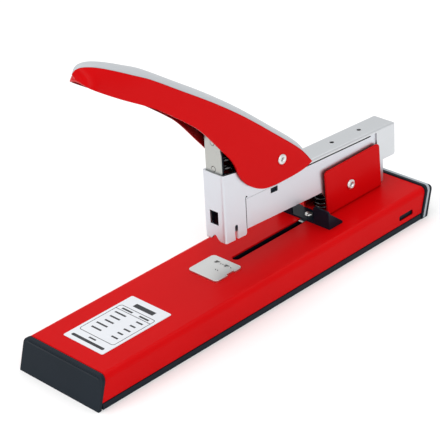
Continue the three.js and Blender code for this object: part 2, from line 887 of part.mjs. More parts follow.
function frameSide() {
  const joggle = nose + frame.joggle_from_front;
  const ear_half = frame.ear_radius;
  const ear_top = lever_pin.height + frame.ear_radius;
  return softened([
    [nose, frame.housing_bottom, frame.joggle_radius],
    [joggle, frame.housing_bottom, frame.joggle_radius],
    [joggle, frame.belly],
    [-frame.neck_from_hinge, frame.belly, frame.joggle_radius],
    [-frame.neck_from_hinge + frame.heel_drop, -frame.heel_drop, frame.joggle_radius],
    [frame.stop_from_hinge - frame.heel_drop / 2, -frame.heel_drop, frame.joggle_radius],
    [frame.stop_from_hinge, -frame.stop_drop, frame.joggle_radius],
    [frame.rear_reach, -frame.stop_drop, frame.joggle_radius],
    [frame.rear_reach, frame.top, frame.joggle_radius],
    [lever_x + ear_half + frame.joggle_radius, frame.top, frame.joggle_radius],
    [lever_x + ear_half, ear_top, frame.ear_radius * 0.8],
    [lever_x - ear_half, ear_top, frame.ear_radius * 0.8],
    [lever_x - ear_half * 1.6, frame.deck, frame.ear_radius / 2],
    [joggle + frame.ear_radius / 3, frame.deck, frame.ear_radius / 2],
    [nose + frame.post_length, frame.post_top - frame.joggle_radius, frame.joggle_radius],
    [nose, frame.post_top],
  ]);
}

function frameHousingSide() {
  const joggle = nose + frame.joggle_from_front;
  return softened([
    [nose, frame.housing_bottom, frame.joggle_radius],
    [joggle, frame.housing_bottom, frame.joggle_radius],
    [joggle, frame.step_height, frame.joggle_radius],
    [lever_x, frame.step_height],
    [lever_x, frame.post_top + overrun],
    [nose, frame.post_top + overrun],
  ]);
}

// A U in plan, open to the rear, pushed up over the whole height of the head
function wrap(half_width) {
  const tall = both(2 * frame.post_top);
  const rear = frame.rear_reach + overrun;
  const radius = frame.corner_radius;
  return cut(
    push(rounded([nose, rear], both(half_width), [radius, 0, 0, radius]), "z", tall),
    push(rounded([inside_nose, rear + overrun], both(frame.inner_half_width),
      [radius - frame.front_wall, 0, 0, radius - frame.front_wall]), "z", both(3 * frame.post_top)));
}

function makeHeadFrame() {
  const across = both(2 * frame.housing_half_width);
  const plates = wrap(frame.outer_half_width).intersect(push(frameSide(), "y", across));
  const housing = wrap(frame.housing_half_width)
    .intersect(push(frameSide(), "y", across))
    .intersect(push(frameHousingSide(), "y", across));
  const into_front = [nose - overrun, inside_nose + overrun / 2];
  const window_hole = block(into_front, both(window_cut.width / 2), [window_cut.bottom, window_cut.top]);
  const arch = new THREE.Shape();
  arch.moveTo(-arch_cut.width / 2, frame.housing_bottom - overrun);
  arch.lineTo(arch_cut.width / 2, frame.housing_bottom - overrun);
  arch.lineTo(arch_cut.width / 2, frame.housing_bottom);
  arch.bezierCurveTo(arch_cut.width / 3, frame.housing_bottom,
    arch_cut.width / 3, frame.housing_bottom + arch_cut.height,
    0, frame.housing_bottom + arch_cut.height);
  arch.bezierCurveTo(-arch_cut.width / 3, frame.housing_bottom + arch_cut.height,
    -arch_cut.width / 3, frame.housing_bottom, -arch_cut.width / 2, frame.housing_bottom);
  const key_x = nose + key_slot.from_front;
  const key_radius = key_slot.width / 2;
  const key = push(rounded([key_x - key_radius, key_x + key_radius],
    [frame.housing_bottom - overrun, key_slot.top], [0, 0, key_radius * 0.98, key_radius * 0.98]), "y", across);
  const hole_x = nose + side_window.from_front;
  const hole = block([hole_x - side_window.length / 2, hole_x + side_window.length / 2], across,
    [side_window.height - side_window.tall / 2, side_window.height + side_window.tall / 2]);
  const pits = [-1, 1].map((side) => bar(dimple.radius, "y",
    side > 0 ? [frame.outer_half_width - dimple.depth, frame.housing_half_width + overrun]
      : [-frame.housing_half_width - overrun, -frame.outer_half_width + dimple.depth],
    [nose + dimple.from_front, 0, dimple.height], round_sides / 2));
  const hinge_bore = bar(pin_bore, "y", across);
  const lever_bore = bar(pin_bore, "y", across, [lever_x, 0, lever_pin.height]);
  return piece("head_frame", cut(unite(plates, housing), window_hole, push(arch, "x", into_front),
    key, hole, ...pits, hinge_bore, lever_bore), nickel_plate);
}

// An inverted U section pushed along the head
function saddle(half_width, wall, [bottom, top], crown, run) {
  return cut(
    block(run, both(half_width), [bottom, top]),
    block([run[0] - overrun, run[1] + overrun], both(half_width - wall), [bottom - overrun, top - crown]));
}

const strip_bottom = rail.top + seat_gap;
const strip_top = strip_bottom + strip.crown;
const strip_rear = rail_front + strip.length;
const follower_front = strip_rear + seat_gap;
const follower_rear = follower_front + follower.length;
const cover_inside = cover.rear_reach - cover.wall;

function makeRail() {
  const core = saddle(rail.half_width, rail.wall, [rail.bottom, rail.top], rail.wall, [rail_front, frame.rear_reach]);
  const bridge = block([-return_spring.from_hinge - frame.joggle_from_front / 2,
    -return_spring.from_hinge + frame.joggle_from_front / 4],
  both(frame.inner_half_width - seat_gap), [rail.bottom - rail.bridge, rail.bottom + rail.wall]);
  return piece("staple_rail", unite(core, bridge), zinc_plate);
}

const makeStrip = () => piece("staple_strip", saddle(strip.half_width, strip.leg,
  [strip.leg_bottom, strip_top], strip.crown, [rail_front, strip_rear]), bright_steel);

function makeFollower() {
  const inside = rail.half_width + seat_gap;
  const body = cut(
    block([follower_front, follower_rear], both(follower.half_width), [follower.leg_bottom, follower.top]),
    block([follower_front - overrun, follower_rear + overrun], both(inside),
      [follower.leg_bottom - overrun, strip_bottom]),
    bar(rod.radius + seat_gap, "x", [follower_front - overrun, follower_rear + overrun], [0, 0, rod.height]));
  return piece("follower", body, black_plastic);
}

function makeRod() {
  const start = follower_front - seat_gap - rod.stop_length;
  const along = [0, 0, rod.height];
  return piece("follower_rod", unite(
    bar(rod.stop_radius, "x", [start, start + rod.stop_length], along, round_sides / 2),
    bar(rod.radius, "x", [start, cover_inside - seat_gap], along, round_sides / 2)), bright_steel);
}

function makeFollowerSpring() {
  const run = [follower_rear + seat_gap, cover_inside - seat_gap];
  return piece("follower_spring", cut(
    bar(spring_sleeve.outer_radius, "x", run, [0, 0, rod.height], round_sides / 2),
    bar(spring_sleeve.inner_radius, "x", [run[0] - overrun, run[1] + overrun], [0, 0, rod.height],
      round_sides / 2)), black_steel);
}

// The top channel slides on the head, with a deep box end that pulls the follower rod
function makeMagazineCover() {
  const front = -cover.front_from_hinge;
  const long = [front, cover.rear_reach];
  const section = arched(cover.half_width, cover.panel_bottom, cover.top, cover.corner_radius);
  const side = softened([
    [front, cover.lip_bottom],
    [cover.rear_reach - cover.panel_length, cover.lip_bottom],
    [cover.rear_reach - cover.panel_length, cover.panel_bottom],
    [cover.rear_reach, cover.panel_bottom, cover.panel_corner_radius],
    [cover.rear_reach, cover.top, cover.panel_corner_radius],
    [front, cover.top],
  ]);
  const whole = push(section, "x", long).intersect(push(side, "y", both(2 * cover.half_width)));
  const hollow = push(arched(cover.half_width - cover.wall, cover.panel_bottom - overrun,
    cover.top - cover.wall, cover.corner_radius - cover.wall), "x", [front - overrun, cover_inside]);
  const holes = [cover.hole_front_from_hinge, cover.hole_rear_from_hinge].map(
    (x) => bar(cover.hole_radius, "z", [cover.top - overrun, cover.top + overrun], [x, 0, 0], round_sides / 2));
  return piece("magazine_cover", cut(whole, hollow, ...holes), zinc_plate);
}

function makeDeck() {
  const run = [carrier_rear + seat_gap, carrier_rear + seat_gap + deck.length];
  const top = deck.bottom + deck.thickness;
  const spring_x = nose + lever_spring.from_front;
  return [
    piece("spring_deck", cut(
      block(run, both(frame.inner_half_width - seat_gap), [deck.bottom, top]),
      bar(deck.post_radius / 2 + seat_gap, "z", [0, frame.post_top], [spring_x, 0, 0])), zinc_plate),
    piece("spring_post", unite(
      bar(deck.post_radius / 2, "z", [deck.bottom, top + deck.thickness], [spring_x, 0, 0]),
      bar(deck.post_radius, "z", [top + seat_gap, top + deck.post_height], [spring_x, 0, 0])), black_steel),
  ];
}

function makeBlade() {
  const plate = block([channel_front, blade_rear], both(blade.half_width), [blade.bottom, blade.top]);
  return piece("driver_blade", cut(plate, ...carrierRivetBores()), bright_steel);
}

const carrier_rivet_heights = [carrier.rivet_low, carrier.rivet_high];

function carrierRivetBores() {
  return carrier_rivet_heights.map((z) => bar(carrier.rivet_radius + seat_gap, "x",
    [channel_front - overrun, carrier_rear + seat_gap], [0, 0, z], round_sides / 2));
}

// Height of the ridge's centre, over the shelf
const nose_height = carrier.shelf_top + carrier.nose_rise;

// The carrier lifts the blade: an upright plate, a shelf over the spring and a rounded ridge
function makeCarrier() {
  const upright = block([carrier_front, carrier_rear], both(carrier.half_width),
    [carrier.bottom, carrier.shelf_top]);
  const shelf = block([carrier_front, carrier_front + carrier.shelf_length], both(carrier.half_width),
    [carrier.shelf_top - carrier.wall, carrier.shelf_top]);
  const ridge_x = nose + carrier.ridge_from_front;
  const ridge = block([ridge_x - carrier.nose_radius, ridge_x + carrier.nose_radius],
    both(carrier.half_width), [carrier.shelf_top - carrier.wall / 2, nose_height]);
  const crown = bar(carrier.nose_radius, "y", both(carrier.half_width), [ridge_x, 0, nose_height],
    round_sides / 2);
  return piece("driver_carrier", cut(unite(upright, shelf, ridge, crown), ...carrierRivetBores()), black_steel);
}

function makeDriverRivets() {
  return alike("driver_rivet", carrier_rivet_heights.map((z) => bar(carrier.rivet_radius, "x",
    [channel_front, carrier_rear], [0, 0, z], round_sides / 2)), bright_steel);
}

function makeLeverSpring() {
  const seat = deck.bottom + deck.thickness + seat_gap;
  const length = carrier.shelf_top - carrier.wall - seat_gap - seat;
  return piece("handle_return_spring", coil("handle_return_spring", lever_spring, length,
    [nose + lever_spring.from_front, 0, seat]), black_steel);
}

// The handle, drawn with its chord along -X and its hinge at the origin. Its outlines are shares of
// the cheek's length, of the grip's length beyond it or of the tail's, and of the crest's height over
// the chord or of the belly's depth below it. The crest ends at a tip that juts out past the lower rim.

const tip_share = 0.21;
const crest_grip_shares = [
  [0.997, 0.335], [0.988, 0.424], [0.970, 0.515], [0.935, 0.606], [0.884, 0.691], [0.820, 0.758],
  [0.740, 0.818], [0.640, 0.879], [0.495, 0.958], [0.223, 0.982],
];
const crest_cheek_shares = [[0.928, 1.0], [0.570, 0.945], [0.186, 0.782]];
const crest_tail_shares = [[0.444, 0.60]];
const rim_nose_share = -0.047;
const belly_grip_shares = [
  [0.925, 0.005], [0.870, 0.026], [0.672, 0.0], [0.415, -0.075], [0.277, -0.066], [0.061, -0.009],
];
const belly_cheek_shares = [
  [0.925, 0.070], [0.720, 0.291], [0.506, 0.545], [0.369, 0.873], [0.258, 1.0], [0.114, 0.981],
];
const belly_tail_shares = [[0.065, 0.761], [0.717, 0.146]];
const tail_tip_share = 0.333;
const crest_steps = 30;
const belly_steps = 28;

const reach = handle.cheek + handle.grip;
const alongGrip = ([along, up], depth) => new THREE.Vector2(-handle.cheek - along * handle.grip, up * depth);
const alongCheek = ([along, up], depth) => new THREE.Vector2(-along * handle.cheek, up * depth);
const alongTail = ([along, up], depth) => new THREE.Vector2(along * handle.tail, up * depth);
const rim_reach = reach - handle.rim_setback;
const tip = new THREE.Vector2(-reach, tip_share * handle.crest);
const rim_nose = new THREE.Vector2(-rim_reach, -rim_nose_share * handle.belly);
const tail = new THREE.Vector2(handle.tail, tail_tip_share * handle.crest);

// From the tail over the crest to the tip
function crestLine() {
  const knots = [
    tail,
    ...crest_tail_shares.map((share) => alongTail(share, handle.crest)),
    ...crest_cheek_shares.toReversed().map((share) => alongCheek(share, handle.crest)),
    ...crest_grip_shares.toReversed().map((share) => alongGrip(share, handle.crest)),
    tip,
  ];
  return new THREE.SplineCurve(knots).getPoints(crest_steps);
}

// From the rim's nose along the belly back to the tail
function bellyLine() {
  const knots = [
    rim_nose,
    ...belly_grip_shares.map((share) => alongGrip(share, -handle.belly)),
    ...belly_cheek_shares.map((share) => alongCheek(share, -handle.belly)),
    ...belly_tail_shares.map((share) => alongTail(share, -handle.belly)),
    tail,
  ];
  return new THREE.SplineCurve(knots).getPoints(belly_steps);
}

// A line of points moved square to itself, by its own distance where it faces up and where it faces ahead
function offset(points, up, ahead = up) {
  return points.map((point, i) => {
    const before = points[Math.max(i - 1, 0)];
    const after = points[Math.min(i + 1, points.length - 1)];
    const along = after.clone().sub(before).normalize();
    return new THREE.Vector2(point.x - along.y * ahead, point.y + along.x * up);
  });
}

// Height of the crest at a distance along the chord
function crestAt(x) {
  const line = crestLine();
  const next = Math.max(line.findIndex((p) => p.x <= x), 1);
  const share = (x - line[next - 1].x) / (line[next].x - line[next - 1].x);
  return THREE.MathUtils.lerp(line[next - 1].y, line[next].y, THREE.MathUtils.clamp(share, 0, 1));
}

// Half the width along the crest: straight from the tail, then drawn in like the bowl of a spoon
function spoonHalf(distance, inset) {
  const length = handle.spoon_length - inset * handle.spoon_power;
  const start = reach - handle.spoon_length;
  const share = THREE.MathUtils.clamp((distance - start) / length, 0, 1);
  return (handle.outer_half_width - handle.shoulder_inset - inset)
    * (1 - share ** handle.spoon_power) ** (1 / handle.spoon_power);
}

// One side of the handle from its tail to its nose. Each station pairs a place on the lower rim, which
// ends in a short half ellipse, with one on the crest, which runs on to the tip.
const straight_steps = 6;
const spoon_steps = 7;
const nose_steps = 7;

function stations(inset) {
  const half = handle.outer_half_width - inset;
  const spoon = reach - handle.spoon_length;
  const rim_round = rim_reach - handle.rim_round;
  const side = [];
  for (let i = 0; i <= straight_steps; i += 1) {
    const at = THREE.MathUtils.lerp(-handle.tail - overrun, spoon, i / straight_steps);
    side.push({ rim: [at, half], crest: [at, spoonHalf(at, inset)] });
  }
  for (let i = 1; i <= spoon_steps; i += 1) {
    const at = THREE.MathUtils.lerp(spoon, rim_round, i / spoon_steps);
    side.push({ rim: [at, half], crest: [at, spoonHalf(at, inset)] });
  }
  for (let i = 1; i <= nose_steps; i += 1) {
    const turn = (RIGHT_ANGLE * i) / nose_steps;
    const rim_at = rim_round + (handle.rim_round - inset) * Math.sin(turn);
    const crest_at = rim_round + (reach - inset * handle.spoon_power - rim_round) * Math.sin(turn);
    side.push({ rim: [rim_at, half * Math.cos(turn)], crest: [crest_at, spoonHalf(crest_at, inset)] });
  }
  return side;
}

// A closed skin over a row of rings, with a fan of faces on the first and last
function loft(rings) {
  const around = rings[0].length;
  const faces = [];
  for (let i = 0; i + 1 < rings.length; i += 1) {
    for (let j = 0; j < around; j += 1) {
      const a = i * around + j;
      const b = i * around + ((j + 1) % around);
      faces.push(a, b, b + around, a, b + around, a + around);
    }
  }
  const last = (rings.length - 1) * around;
  for (let j = 1; j + 1 < around; j += 1) {
    faces.push(0, j + 1, j);
    faces.push(last, last + j, last + j + 1);
  }
  const geometry = new THREE.BufferGeometry();
  geometry.setAttribute("position", new THREE.Float32BufferAttribute(
    rings.flat().flatMap((point) => point.toArray()), 3));
  geometry.setIndex(faces);
  return solidOf(geometry);
}

// The handle's body between its sides: upright from below to the foot of the shoulder, then leaning in
// to the crest's narrower outline. In the spoon the shoulder reaches down to the rim.
const shoulder_steps = 4;

function handleBody(inset) {
  const side = stations(inset);
  const spoon = reach - handle.spoon_length;
  const ring = (level) => {
    const half_ring = side.map(({ rim, crest }) => {
      const top = crestAt(-crest[0]);
      const deep = THREE.MathUtils.clamp((crest[0] - spoon) / (handle.spoon_length / 2), 0, 1);
      const foot = THREE.MathUtils.lerp(top - handle.shoulder, 0, deep);
      const share = THREE.MathUtils.clamp(level, 0, 1);
      const lean = share ** 2;
      const height = level < 0 ? -2 * handle.belly : THREE.MathUtils.lerp(foot, top, share);
      return new THREE.Vector3(
        -THREE.MathUtils.lerp(rim[0], crest[0], lean),
        THREE.MathUtils.lerp(rim[1], crest[1], lean),
        level > 1 ? 2 * handle.crest : height);
    });
    const mirrored = half_ring.slice(0, -1).toReversed().map(({ x, y, z }) => new THREE.Vector3(x, -y, z));
    return [...half_ring, ...mirrored];
  };
  const levels = [-1];
  for (let i = 0; i <= shoulder_steps; i += 1) levels.push(i / shoulder_steps);
  return loft([...levels, 2].map(ring));
}

const handle_inner = handle.outer_half_width - handle.wall;

// Everything below a line over the crest
function underRoof(distance) {
  const roof = offset(crestLine(), distance);
  const depth = -2 * handle.belly;
  return new THREE.Shape([
    new THREE.Vector2(roof[0].x + 2 * overrun, roof[0].y - 2 * overrun),
    ...roof,
    new THREE.Vector2(roof.at(-1).x, depth),
    new THREE.Vector2(roof[0].x + 2 * overrun, depth),
  ]);
}

function makeHandleShell() {
  const side = new THREE.Shape([...crestLine(), ...bellyLine().slice(0, -1)]);
  const whole = push(side, "y", both(handle.outer_half_width)).intersect(handleBody(0));
  const hollow = push(underRoof(handle.wall), "y", both(handle_inner)).intersect(handleBody(handle.wall));
  const open_tail = block([handle.tail - handle.web_tail_gap, handle.tail + overrun],
    both(handle_inner), both(2 * handle.crest));
  const bore = bar(pin_bore, "y", both(2 * handle.outer_half_width));
  return piece("handle_shell", cut(whole, hollow, open_tail, bore), red_paint);
}

// The grip cover: domed across, seated on the crest, and thinning out towards the tip
const cover_seat = seat_gap / 3;
const dome_steps = 8;

function makeHandleCover() {
  const first = handle.cover_tail_gap - handle.tail;
  const along = crestLine().map((p) => -p.x).filter((at) => at > first);
  const rings = [first, ...along.slice(0, -1), THREE.MathUtils.lerp(along.at(-2), reach, 0.5)].map((at) => {
    const half = spoonHalf(at, 0);
    const low = crestAt(-at) + cover_seat;
    const share = THREE.MathUtils.clamp((reach - at) / handle.spoon_length, 0, 1);
    const rise = handle.cover_height * share ** handle.cover_nose_power;
    const ring = [];
    for (let i = 0; i <= dome_steps; i += 1) {
      const turn = (2 * RIGHT_ANGLE * i) / dome_steps;
      const power = 2 / handle.cover_power;
      const across = Math.sign(Math.cos(turn)) * Math.abs(Math.cos(turn)) ** power;
      ring.push(new THREE.Vector3(-at, -half * across, low + rise * Math.sin(turn) ** power));
    }
    return ring;
  });
  return piece("handle_cover", loft(rings), grey_plastic);
}

// The cam under the roof: its face is the path of the carrier's rounded ridge as the handle sees it
const lift = THREE.MathUtils.degToRad(handle.lift_deg);
const swing = THREE.MathUtils.degToRad(handle.swing_deg);
const ridge_arm = frame.front_reach - carrier.ridge_from_front - lever_pin.from_hinge;
const ridge_rise = nose_height - lever_pin.height;
const cam_offset = ridge_rise * Math.cos(lift) - ridge_arm * Math.sin(lift);
const ridge_rise_down = (cam_offset + ridge_arm * Math.sin(lift - swing)) / Math.cos(lift - swing);
const driver_travel = ridge_rise - ridge_rise_down;

function camFace() {
  const steps = 10;
  const path = [];
  for (let i = 0; i <= steps; i += 1) {
    const turn = lift - (swing * i) / steps;
    const rise = ridge_rise - (driver_travel * i) / steps;
    path.push(new THREE.Vector2(
      -ridge_arm * Math.cos(turn) - rise * Math.sin(turn),
      -ridge_arm * Math.sin(turn) + rise * Math.cos(turn)));
  }
  return path;
}

function makeCam() {
  const face = offset(camFace(), carrier.nose_radius + seat_gap);
  const front = face[0];
  const rear = face.at(-1);
  const above = 2 * handle.crest;
  const shape = new THREE.Shape([
    new THREE.Vector2(front.x - cam.margin, front.y),
    ...face,
    new THREE.Vector2(rear.x + cam.margin, rear.y),
    new THREE.Vector2(rear.x + cam.margin, above),
    new THREE.Vector2(front.x - cam.margin, above),
  ]);
  return piece("press_cam", push(shape, "y", both(cam.half_width))
    .intersect(push(underRoof(handle.wall + seat_gap), "y", both(cam.half_width))), black_steel);
}

const makeLeverPin = () => piece("handle_hinge_rivet",
  crossRivet(handle.outer_half_width + seat_gap / 2, hinge.pin_radius, 0, 0), bright_steel);

// Assembly

const stapler = new THREE.Group();
stapler.add(
  makeBaseShell(),
  makeBaseTray(),
  ...makeTrayScrews(),
  makeSpine(),
  makeFrontCap(),
  makeRearCap(),
  makeAnvil(),
  ...makeAnvilRivets(),
  makeLabel(),
  makePaperGuide(),
  makeGuideRivet(),
  makeGuideWasher(),
  makeBracket(),
  ...makeBracketRivets(),
  makeHingePin(),
  makeReturnSpring(),
);

const head = new THREE.Group();
head.position.set(hinge_x, 0, hinge_z);
head.rotation.y = THREE.MathUtils.degToRad(hinge.tilt_deg);
head.add(
  makeHeadFrame(),
  makeRail(),
  makeStrip(),
  makeFollower(),
  makeRod(),
  makeFollowerSpring(),
  makeMagazineCover(),
  ...makeDeck(),
  makeBlade(),
  makeCarrier(),
  ...makeDriverRivets(),
  makeLeverSpring(),
);

const lever = new THREE.Group();
lever.position.set(lever_x, 0, lever_pin.height);
lever.rotation.y = lift;
lever.add(makeHandleShell(), makeHandleCover(), makeCam(), makeLeverPin());

head.add(lever);
stapler.add(head);

export default stapler;
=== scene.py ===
# %% [markdown]
# # A heavy duty stapler
# The stapler has a long pressed steel base, a hinged magazine head and a long lever handle. The packed
# CAD model already says where every piece is, so each piece below is drawn at its real size in
# millimetres, turned to metres, and set on the body that it moves with.

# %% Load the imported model
import json
from functools import partial
from math import atan2, cos, pi, radians, sin, tan

import bmesh
import bpy
from mathutils import Matrix, Vector


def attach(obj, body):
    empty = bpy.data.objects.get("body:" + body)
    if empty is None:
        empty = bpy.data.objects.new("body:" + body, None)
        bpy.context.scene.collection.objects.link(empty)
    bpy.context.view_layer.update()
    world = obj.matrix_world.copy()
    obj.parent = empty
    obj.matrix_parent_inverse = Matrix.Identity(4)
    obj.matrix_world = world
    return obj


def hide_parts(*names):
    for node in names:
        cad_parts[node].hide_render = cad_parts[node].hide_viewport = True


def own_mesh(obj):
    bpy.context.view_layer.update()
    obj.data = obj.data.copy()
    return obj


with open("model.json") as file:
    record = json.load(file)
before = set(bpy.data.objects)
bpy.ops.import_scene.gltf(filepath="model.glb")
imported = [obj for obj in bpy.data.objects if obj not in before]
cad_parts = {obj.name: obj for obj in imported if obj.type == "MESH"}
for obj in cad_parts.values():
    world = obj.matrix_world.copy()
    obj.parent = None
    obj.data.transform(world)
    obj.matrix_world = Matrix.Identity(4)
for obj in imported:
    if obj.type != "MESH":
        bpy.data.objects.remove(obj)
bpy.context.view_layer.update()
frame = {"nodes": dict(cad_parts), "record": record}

# %% [markdown]
# ## Drawing helpers
# Sheet metal and moulded plastic start as flat outlines with rounded corners. An outline is pushed
# along one axis to a closed solid, and solids are cut from or joined to each other. True arcs are used
# for the corners, because the eye reads a coarse corner at once in a glossy finish.

# %% Outlines
MM = 0.001


def filleted(corners, steps=8):
    """A closed outline from corners (x, y, radius), each rounded by a true arc."""
    outline = []
    for i, (x, y, radius) in enumerate(corners):
        here = Vector((x, y))
        if not radius:
            outline.append((x, y))
            continue
        back = (Vector(corners[i - 1][:2]) - here).normalized()
        on = (Vector(corners[(i + 1) % len(corners)][:2]) - here).normalized()
        half = back.angle(on) / 2
        centre = here + (back + on).normalized() * radius / sin(half)
        start = here + back * radius / tan(half) - centre
        end = here + on * radius / tan(half) - centre
        first = atan2(start.y, start.x)
        sweep = (atan2(end.y, end.x) - first + pi) % (2 * pi) - pi
        for k in range(steps + 1):
            angle = first + sweep * k / steps
            outline.append((centre.x + radius * cos(angle), centre.y + radius * sin(angle)))
    return outline


def rectangle(x0, x1, y0, y1, low_left=0, low_right=0, high_right=0, high_left=0, steps=8):
    """A rectangle with its own radius at each corner."""
    return filleted([(x0, y0, low_left), (x1, y0, low_right), (x1, y1, high_right), (x0, y1, high_left)],
                    steps)


def rounded(x0, x1, y0, y1, radius):
    """A rectangle with one radius at all its corners."""
    return rectangle(x0, x1, y0, y1, *[radius] * 4)


def circle(radius, x=0, y=0, sides=40):
    """A round outline about a point."""
    turns = [2 * pi * k / sides for k in range(sides)]
    return [(x + radius * cos(turn), y + radius * sin(turn)) for turn in turns]


# %% [markdown]
# ### Solids from outlines
# Each solid is closed, so it can be cut from or joined to another one with an exact boolean, and the
# result is baked at once. Working with solids keeps every wall a real wall with two sides.

# %% Solids
def as_object(bm, name):
    """A mesh in the making as an object of the scene."""
    mesh = bpy.data.meshes.new(name)
    bm.to_mesh(mesh)
    bm.free()
    made = bpy.data.objects.new(name, mesh)
    bpy.context.scene.collection.objects.link(made)
    return made


def pushed(name, outline, axis, low, high):
    """A closed solid: an outline pushed along one axis between two limits."""
    put = {"x": lambda a, b, t: (t, a, b), "y": lambda a, b, t: (a, t, b),
           "z": lambda a, b, t: (a, b, t)}[axis]
    bm = bmesh.new()
    ends = [[bm.verts.new(Vector(put(a, b, t)) * MM) for a, b in outline] for t in (low, high)]
    for end in ends:
        bm.faces.new(end)
    for i in range(len(outline)):
        bm.faces.new((ends[0][i - 1], ends[0][i], ends[1][i], ends[1][i - 1]))
    bmesh.ops.recalc_face_normals(bm, faces=bm.faces)
    return as_object(bm, name)


def through(outline, axis, half):
    """A tool that reaches equally far to both sides, to cut a piece or to keep its common part."""
    return pushed("tool", outline, axis, -half, half)


def box(name, x0, x1, y0, y1, z0, z1):
    """A solid between six flat sides."""
    return pushed(name, rectangle(x0, x1, y0, y1), "z", z0, z1)


def settled(piece):
    """Turn a piece with its modifiers into a plain mesh."""
    graph = bpy.context.evaluated_depsgraph_get()
    mesh = bpy.data.meshes.new_from_object(piece.evaluated_get(graph))
    piece.modifiers.clear()
    piece.data = mesh
    mesh.name = piece.name
    return piece


def combined(piece, operation, *others):
    """Cut, join or keep the common part of solids."""
    for other in others:
        step = piece.modifiers.new("solid", "BOOLEAN")
        step.operation = operation
        step.solver = "EXACT"
        step.object = other
        settled(piece)
        bpy.data.objects.remove(other)
    return piece


def cut(piece, *others):
    return combined(piece, "DIFFERENCE", *others)


def joined(piece, *others):
    return combined(piece, "UNION", *others)


def common(piece, *others):
    return combined(piece, "INTERSECT", *others)


# %% [markdown]
# ## Finishing a piece
# No pressed or moulded edge is truly sharp. A narrow bevel catches a thin line of light along each
# edge, which is most of what makes metal look like metal. Weighted normals keep the flat faces flat
# beside it. Then the piece gets its material and its body, and the CAD nodes that it stands for are hidden.

# %% Finish
WELD_MM, SLIVER_MM = 0.002, 0.001
BEVELLED_FROM, SHARP_FROM = radians(35), radians(50)


def finished(piece, material, slot, body, *nodes, edge=0.25, place=None):
    """Soften the edges, shade by angle, and fix the piece to its body."""
    clean = bmesh.new()
    clean.from_mesh(piece.data)
    bmesh.ops.remove_doubles(clean, verts=clean.verts, dist=WELD_MM * MM)
    bmesh.ops.dissolve_degenerate(clean, edges=clean.edges, dist=SLIVER_MM * MM)
    clean.to_mesh(piece.data)
    clean.free()
    if edge:
        bevel = piece.modifiers.new("edge", "BEVEL")
        bevel.width = edge * MM
        bevel.segments = 2
        bevel.limit_method = "ANGLE"
        bevel.angle_limit = BEVELLED_FROM
        bevel.use_clamp_overlap = True
        settled(piece)
    piece.data.shade_smooth()
    piece.data.set_sharp_from_angle(angle=SHARP_FROM)
    weigh = piece.modifiers.new("normals", "WEIGHTED_NORMAL")
    weigh.keep_sharp = True
    settled(piece)
    if place is not None:
        piece.data.transform(place)
    piece.data.materials.clear()
    piece.data.materials.append(material)
    if nodes:
        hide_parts(*nodes)
    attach(piece, body)
    print(f"{piece.name}: {len(piece.data.polygons)} faces on {body}")
    return piece


# %% [markdown]
# ## Materials
# Colours are written as the sRGB hex values that the eye knows, and one function turns them to linear
# light. One small function adds a node with its settings and links, so each material below reads as a
# short recipe.

# %% Colour and node helpers
def linear(hex_colour):
    """An sRGB hex colour as linear red, green, blue and alpha."""
    shares = [int(hex_colour[i:i + 2], 16) / 255 for i in (1, 3, 5)]
    return [s / 12.92 if s <= 0.04045 else ((s + 0.055) / 1.055) ** 2.4 for s in shares] + [1.0]


def add_node(tree, kind, settings=(), inputs=(), links=()):
    """One node with its settings, its input values and the sockets that feed it."""
    node = tree.nodes.new(kind)
    for name, value in dict(settings).items():
        setattr(node, name, value)
    for name, value in dict(inputs).items():
        node.inputs[name].default_value = value
    for name, source in dict(links).items():
        tree.links.new(source, node.inputs[name])
    return node


def calculate(tree, operation, first, second=0):
    """One sum on sockets or numbers."""
    node = add_node(tree, "ShaderNodeMath", {"operation": operation})
    for socket, value in zip(node.inputs, (first, second)):
        if isinstance(value, (int, float)):
            socket.default_value = value
        else:
            tree.links.new(value, socket)
    return node.outputs[0]


def new_material(name, hex_colour, metallic, roughness, **shader_inputs):
    """A material with a Principled shader, ready for its pattern nodes."""
    material = bpy.data.materials.new(name)
    material.use_nodes = True
    tree = material.node_tree
    shader = tree.nodes["Principled BSDF"]
    shader.inputs["Base Color"].default_value = linear(hex_colour)
    shader.inputs["Metallic"].default_value = metallic
    shader.inputs["Roughness"].default_value = roughness
    for name, value in shader_inputs.items():
        shader.inputs[name.replace("_", " ")].default_value = value
    place = add_node(tree, "ShaderNodeTexCoord").outputs["Object"]
    return material, tree, shader, place


def noise(tree, place, size_mm, detail):
    """Noise between 0 and 1 with features of about one real size."""
    return add_node(tree, "ShaderNodeTexNoise", inputs={"Scale": 1 / (size_mm * MM), "Detail": detail},
                    links={"Vector": place}).outputs["Fac"]


def ranged(tree, value, limits):
    """A value brought to another range."""
    return add_node(tree, "ShaderNodeMapRange", inputs=limits, links={"Value": value}).outputs["Result"]


def waviness(tree, shader, place, size_mm, depth_mm, roughness_low, roughness_high):
    """Slow noise that drives the bump and the roughness of a surface."""
    wave = noise(tree, place, size_mm, 3.0)
    rough = ranged(tree, wave, {"To Min": roughness_low, "To Max": roughness_high})
    tree.links.new(rough, shader.inputs["Roughness"])
    bump = add_node(tree, "ShaderNodeBump", inputs={"Strength": 1.0, "Distance": depth_mm * MM},
                    links={"Height": wave})
    tree.links.new(bump.outputs["Normal"], shader.inputs["Normal"])


# %% [markdown]
# ### Shades, painted shade in hollows, and worn edges
# A finish is never one flat colour. Two near shades drift into each other over a few centimetres, as a
# spray coat or a plating bath leaves them. Shade is painted into the hollows and grooves of each piece:
# an occlusion node finds them and darkens the colour there. Hands and boxes rub the edges first: a bevel
# shader finds where the surface turns within about half a millimetre, fine noise breaks that line up,
# and the worn tone shows through there. A finish has four tones: its low and high shade, worn, and the
# painted shade of its hollows.

# %% Shades, painted shade in hollows, and worn edges
RUB_MM = 1.5


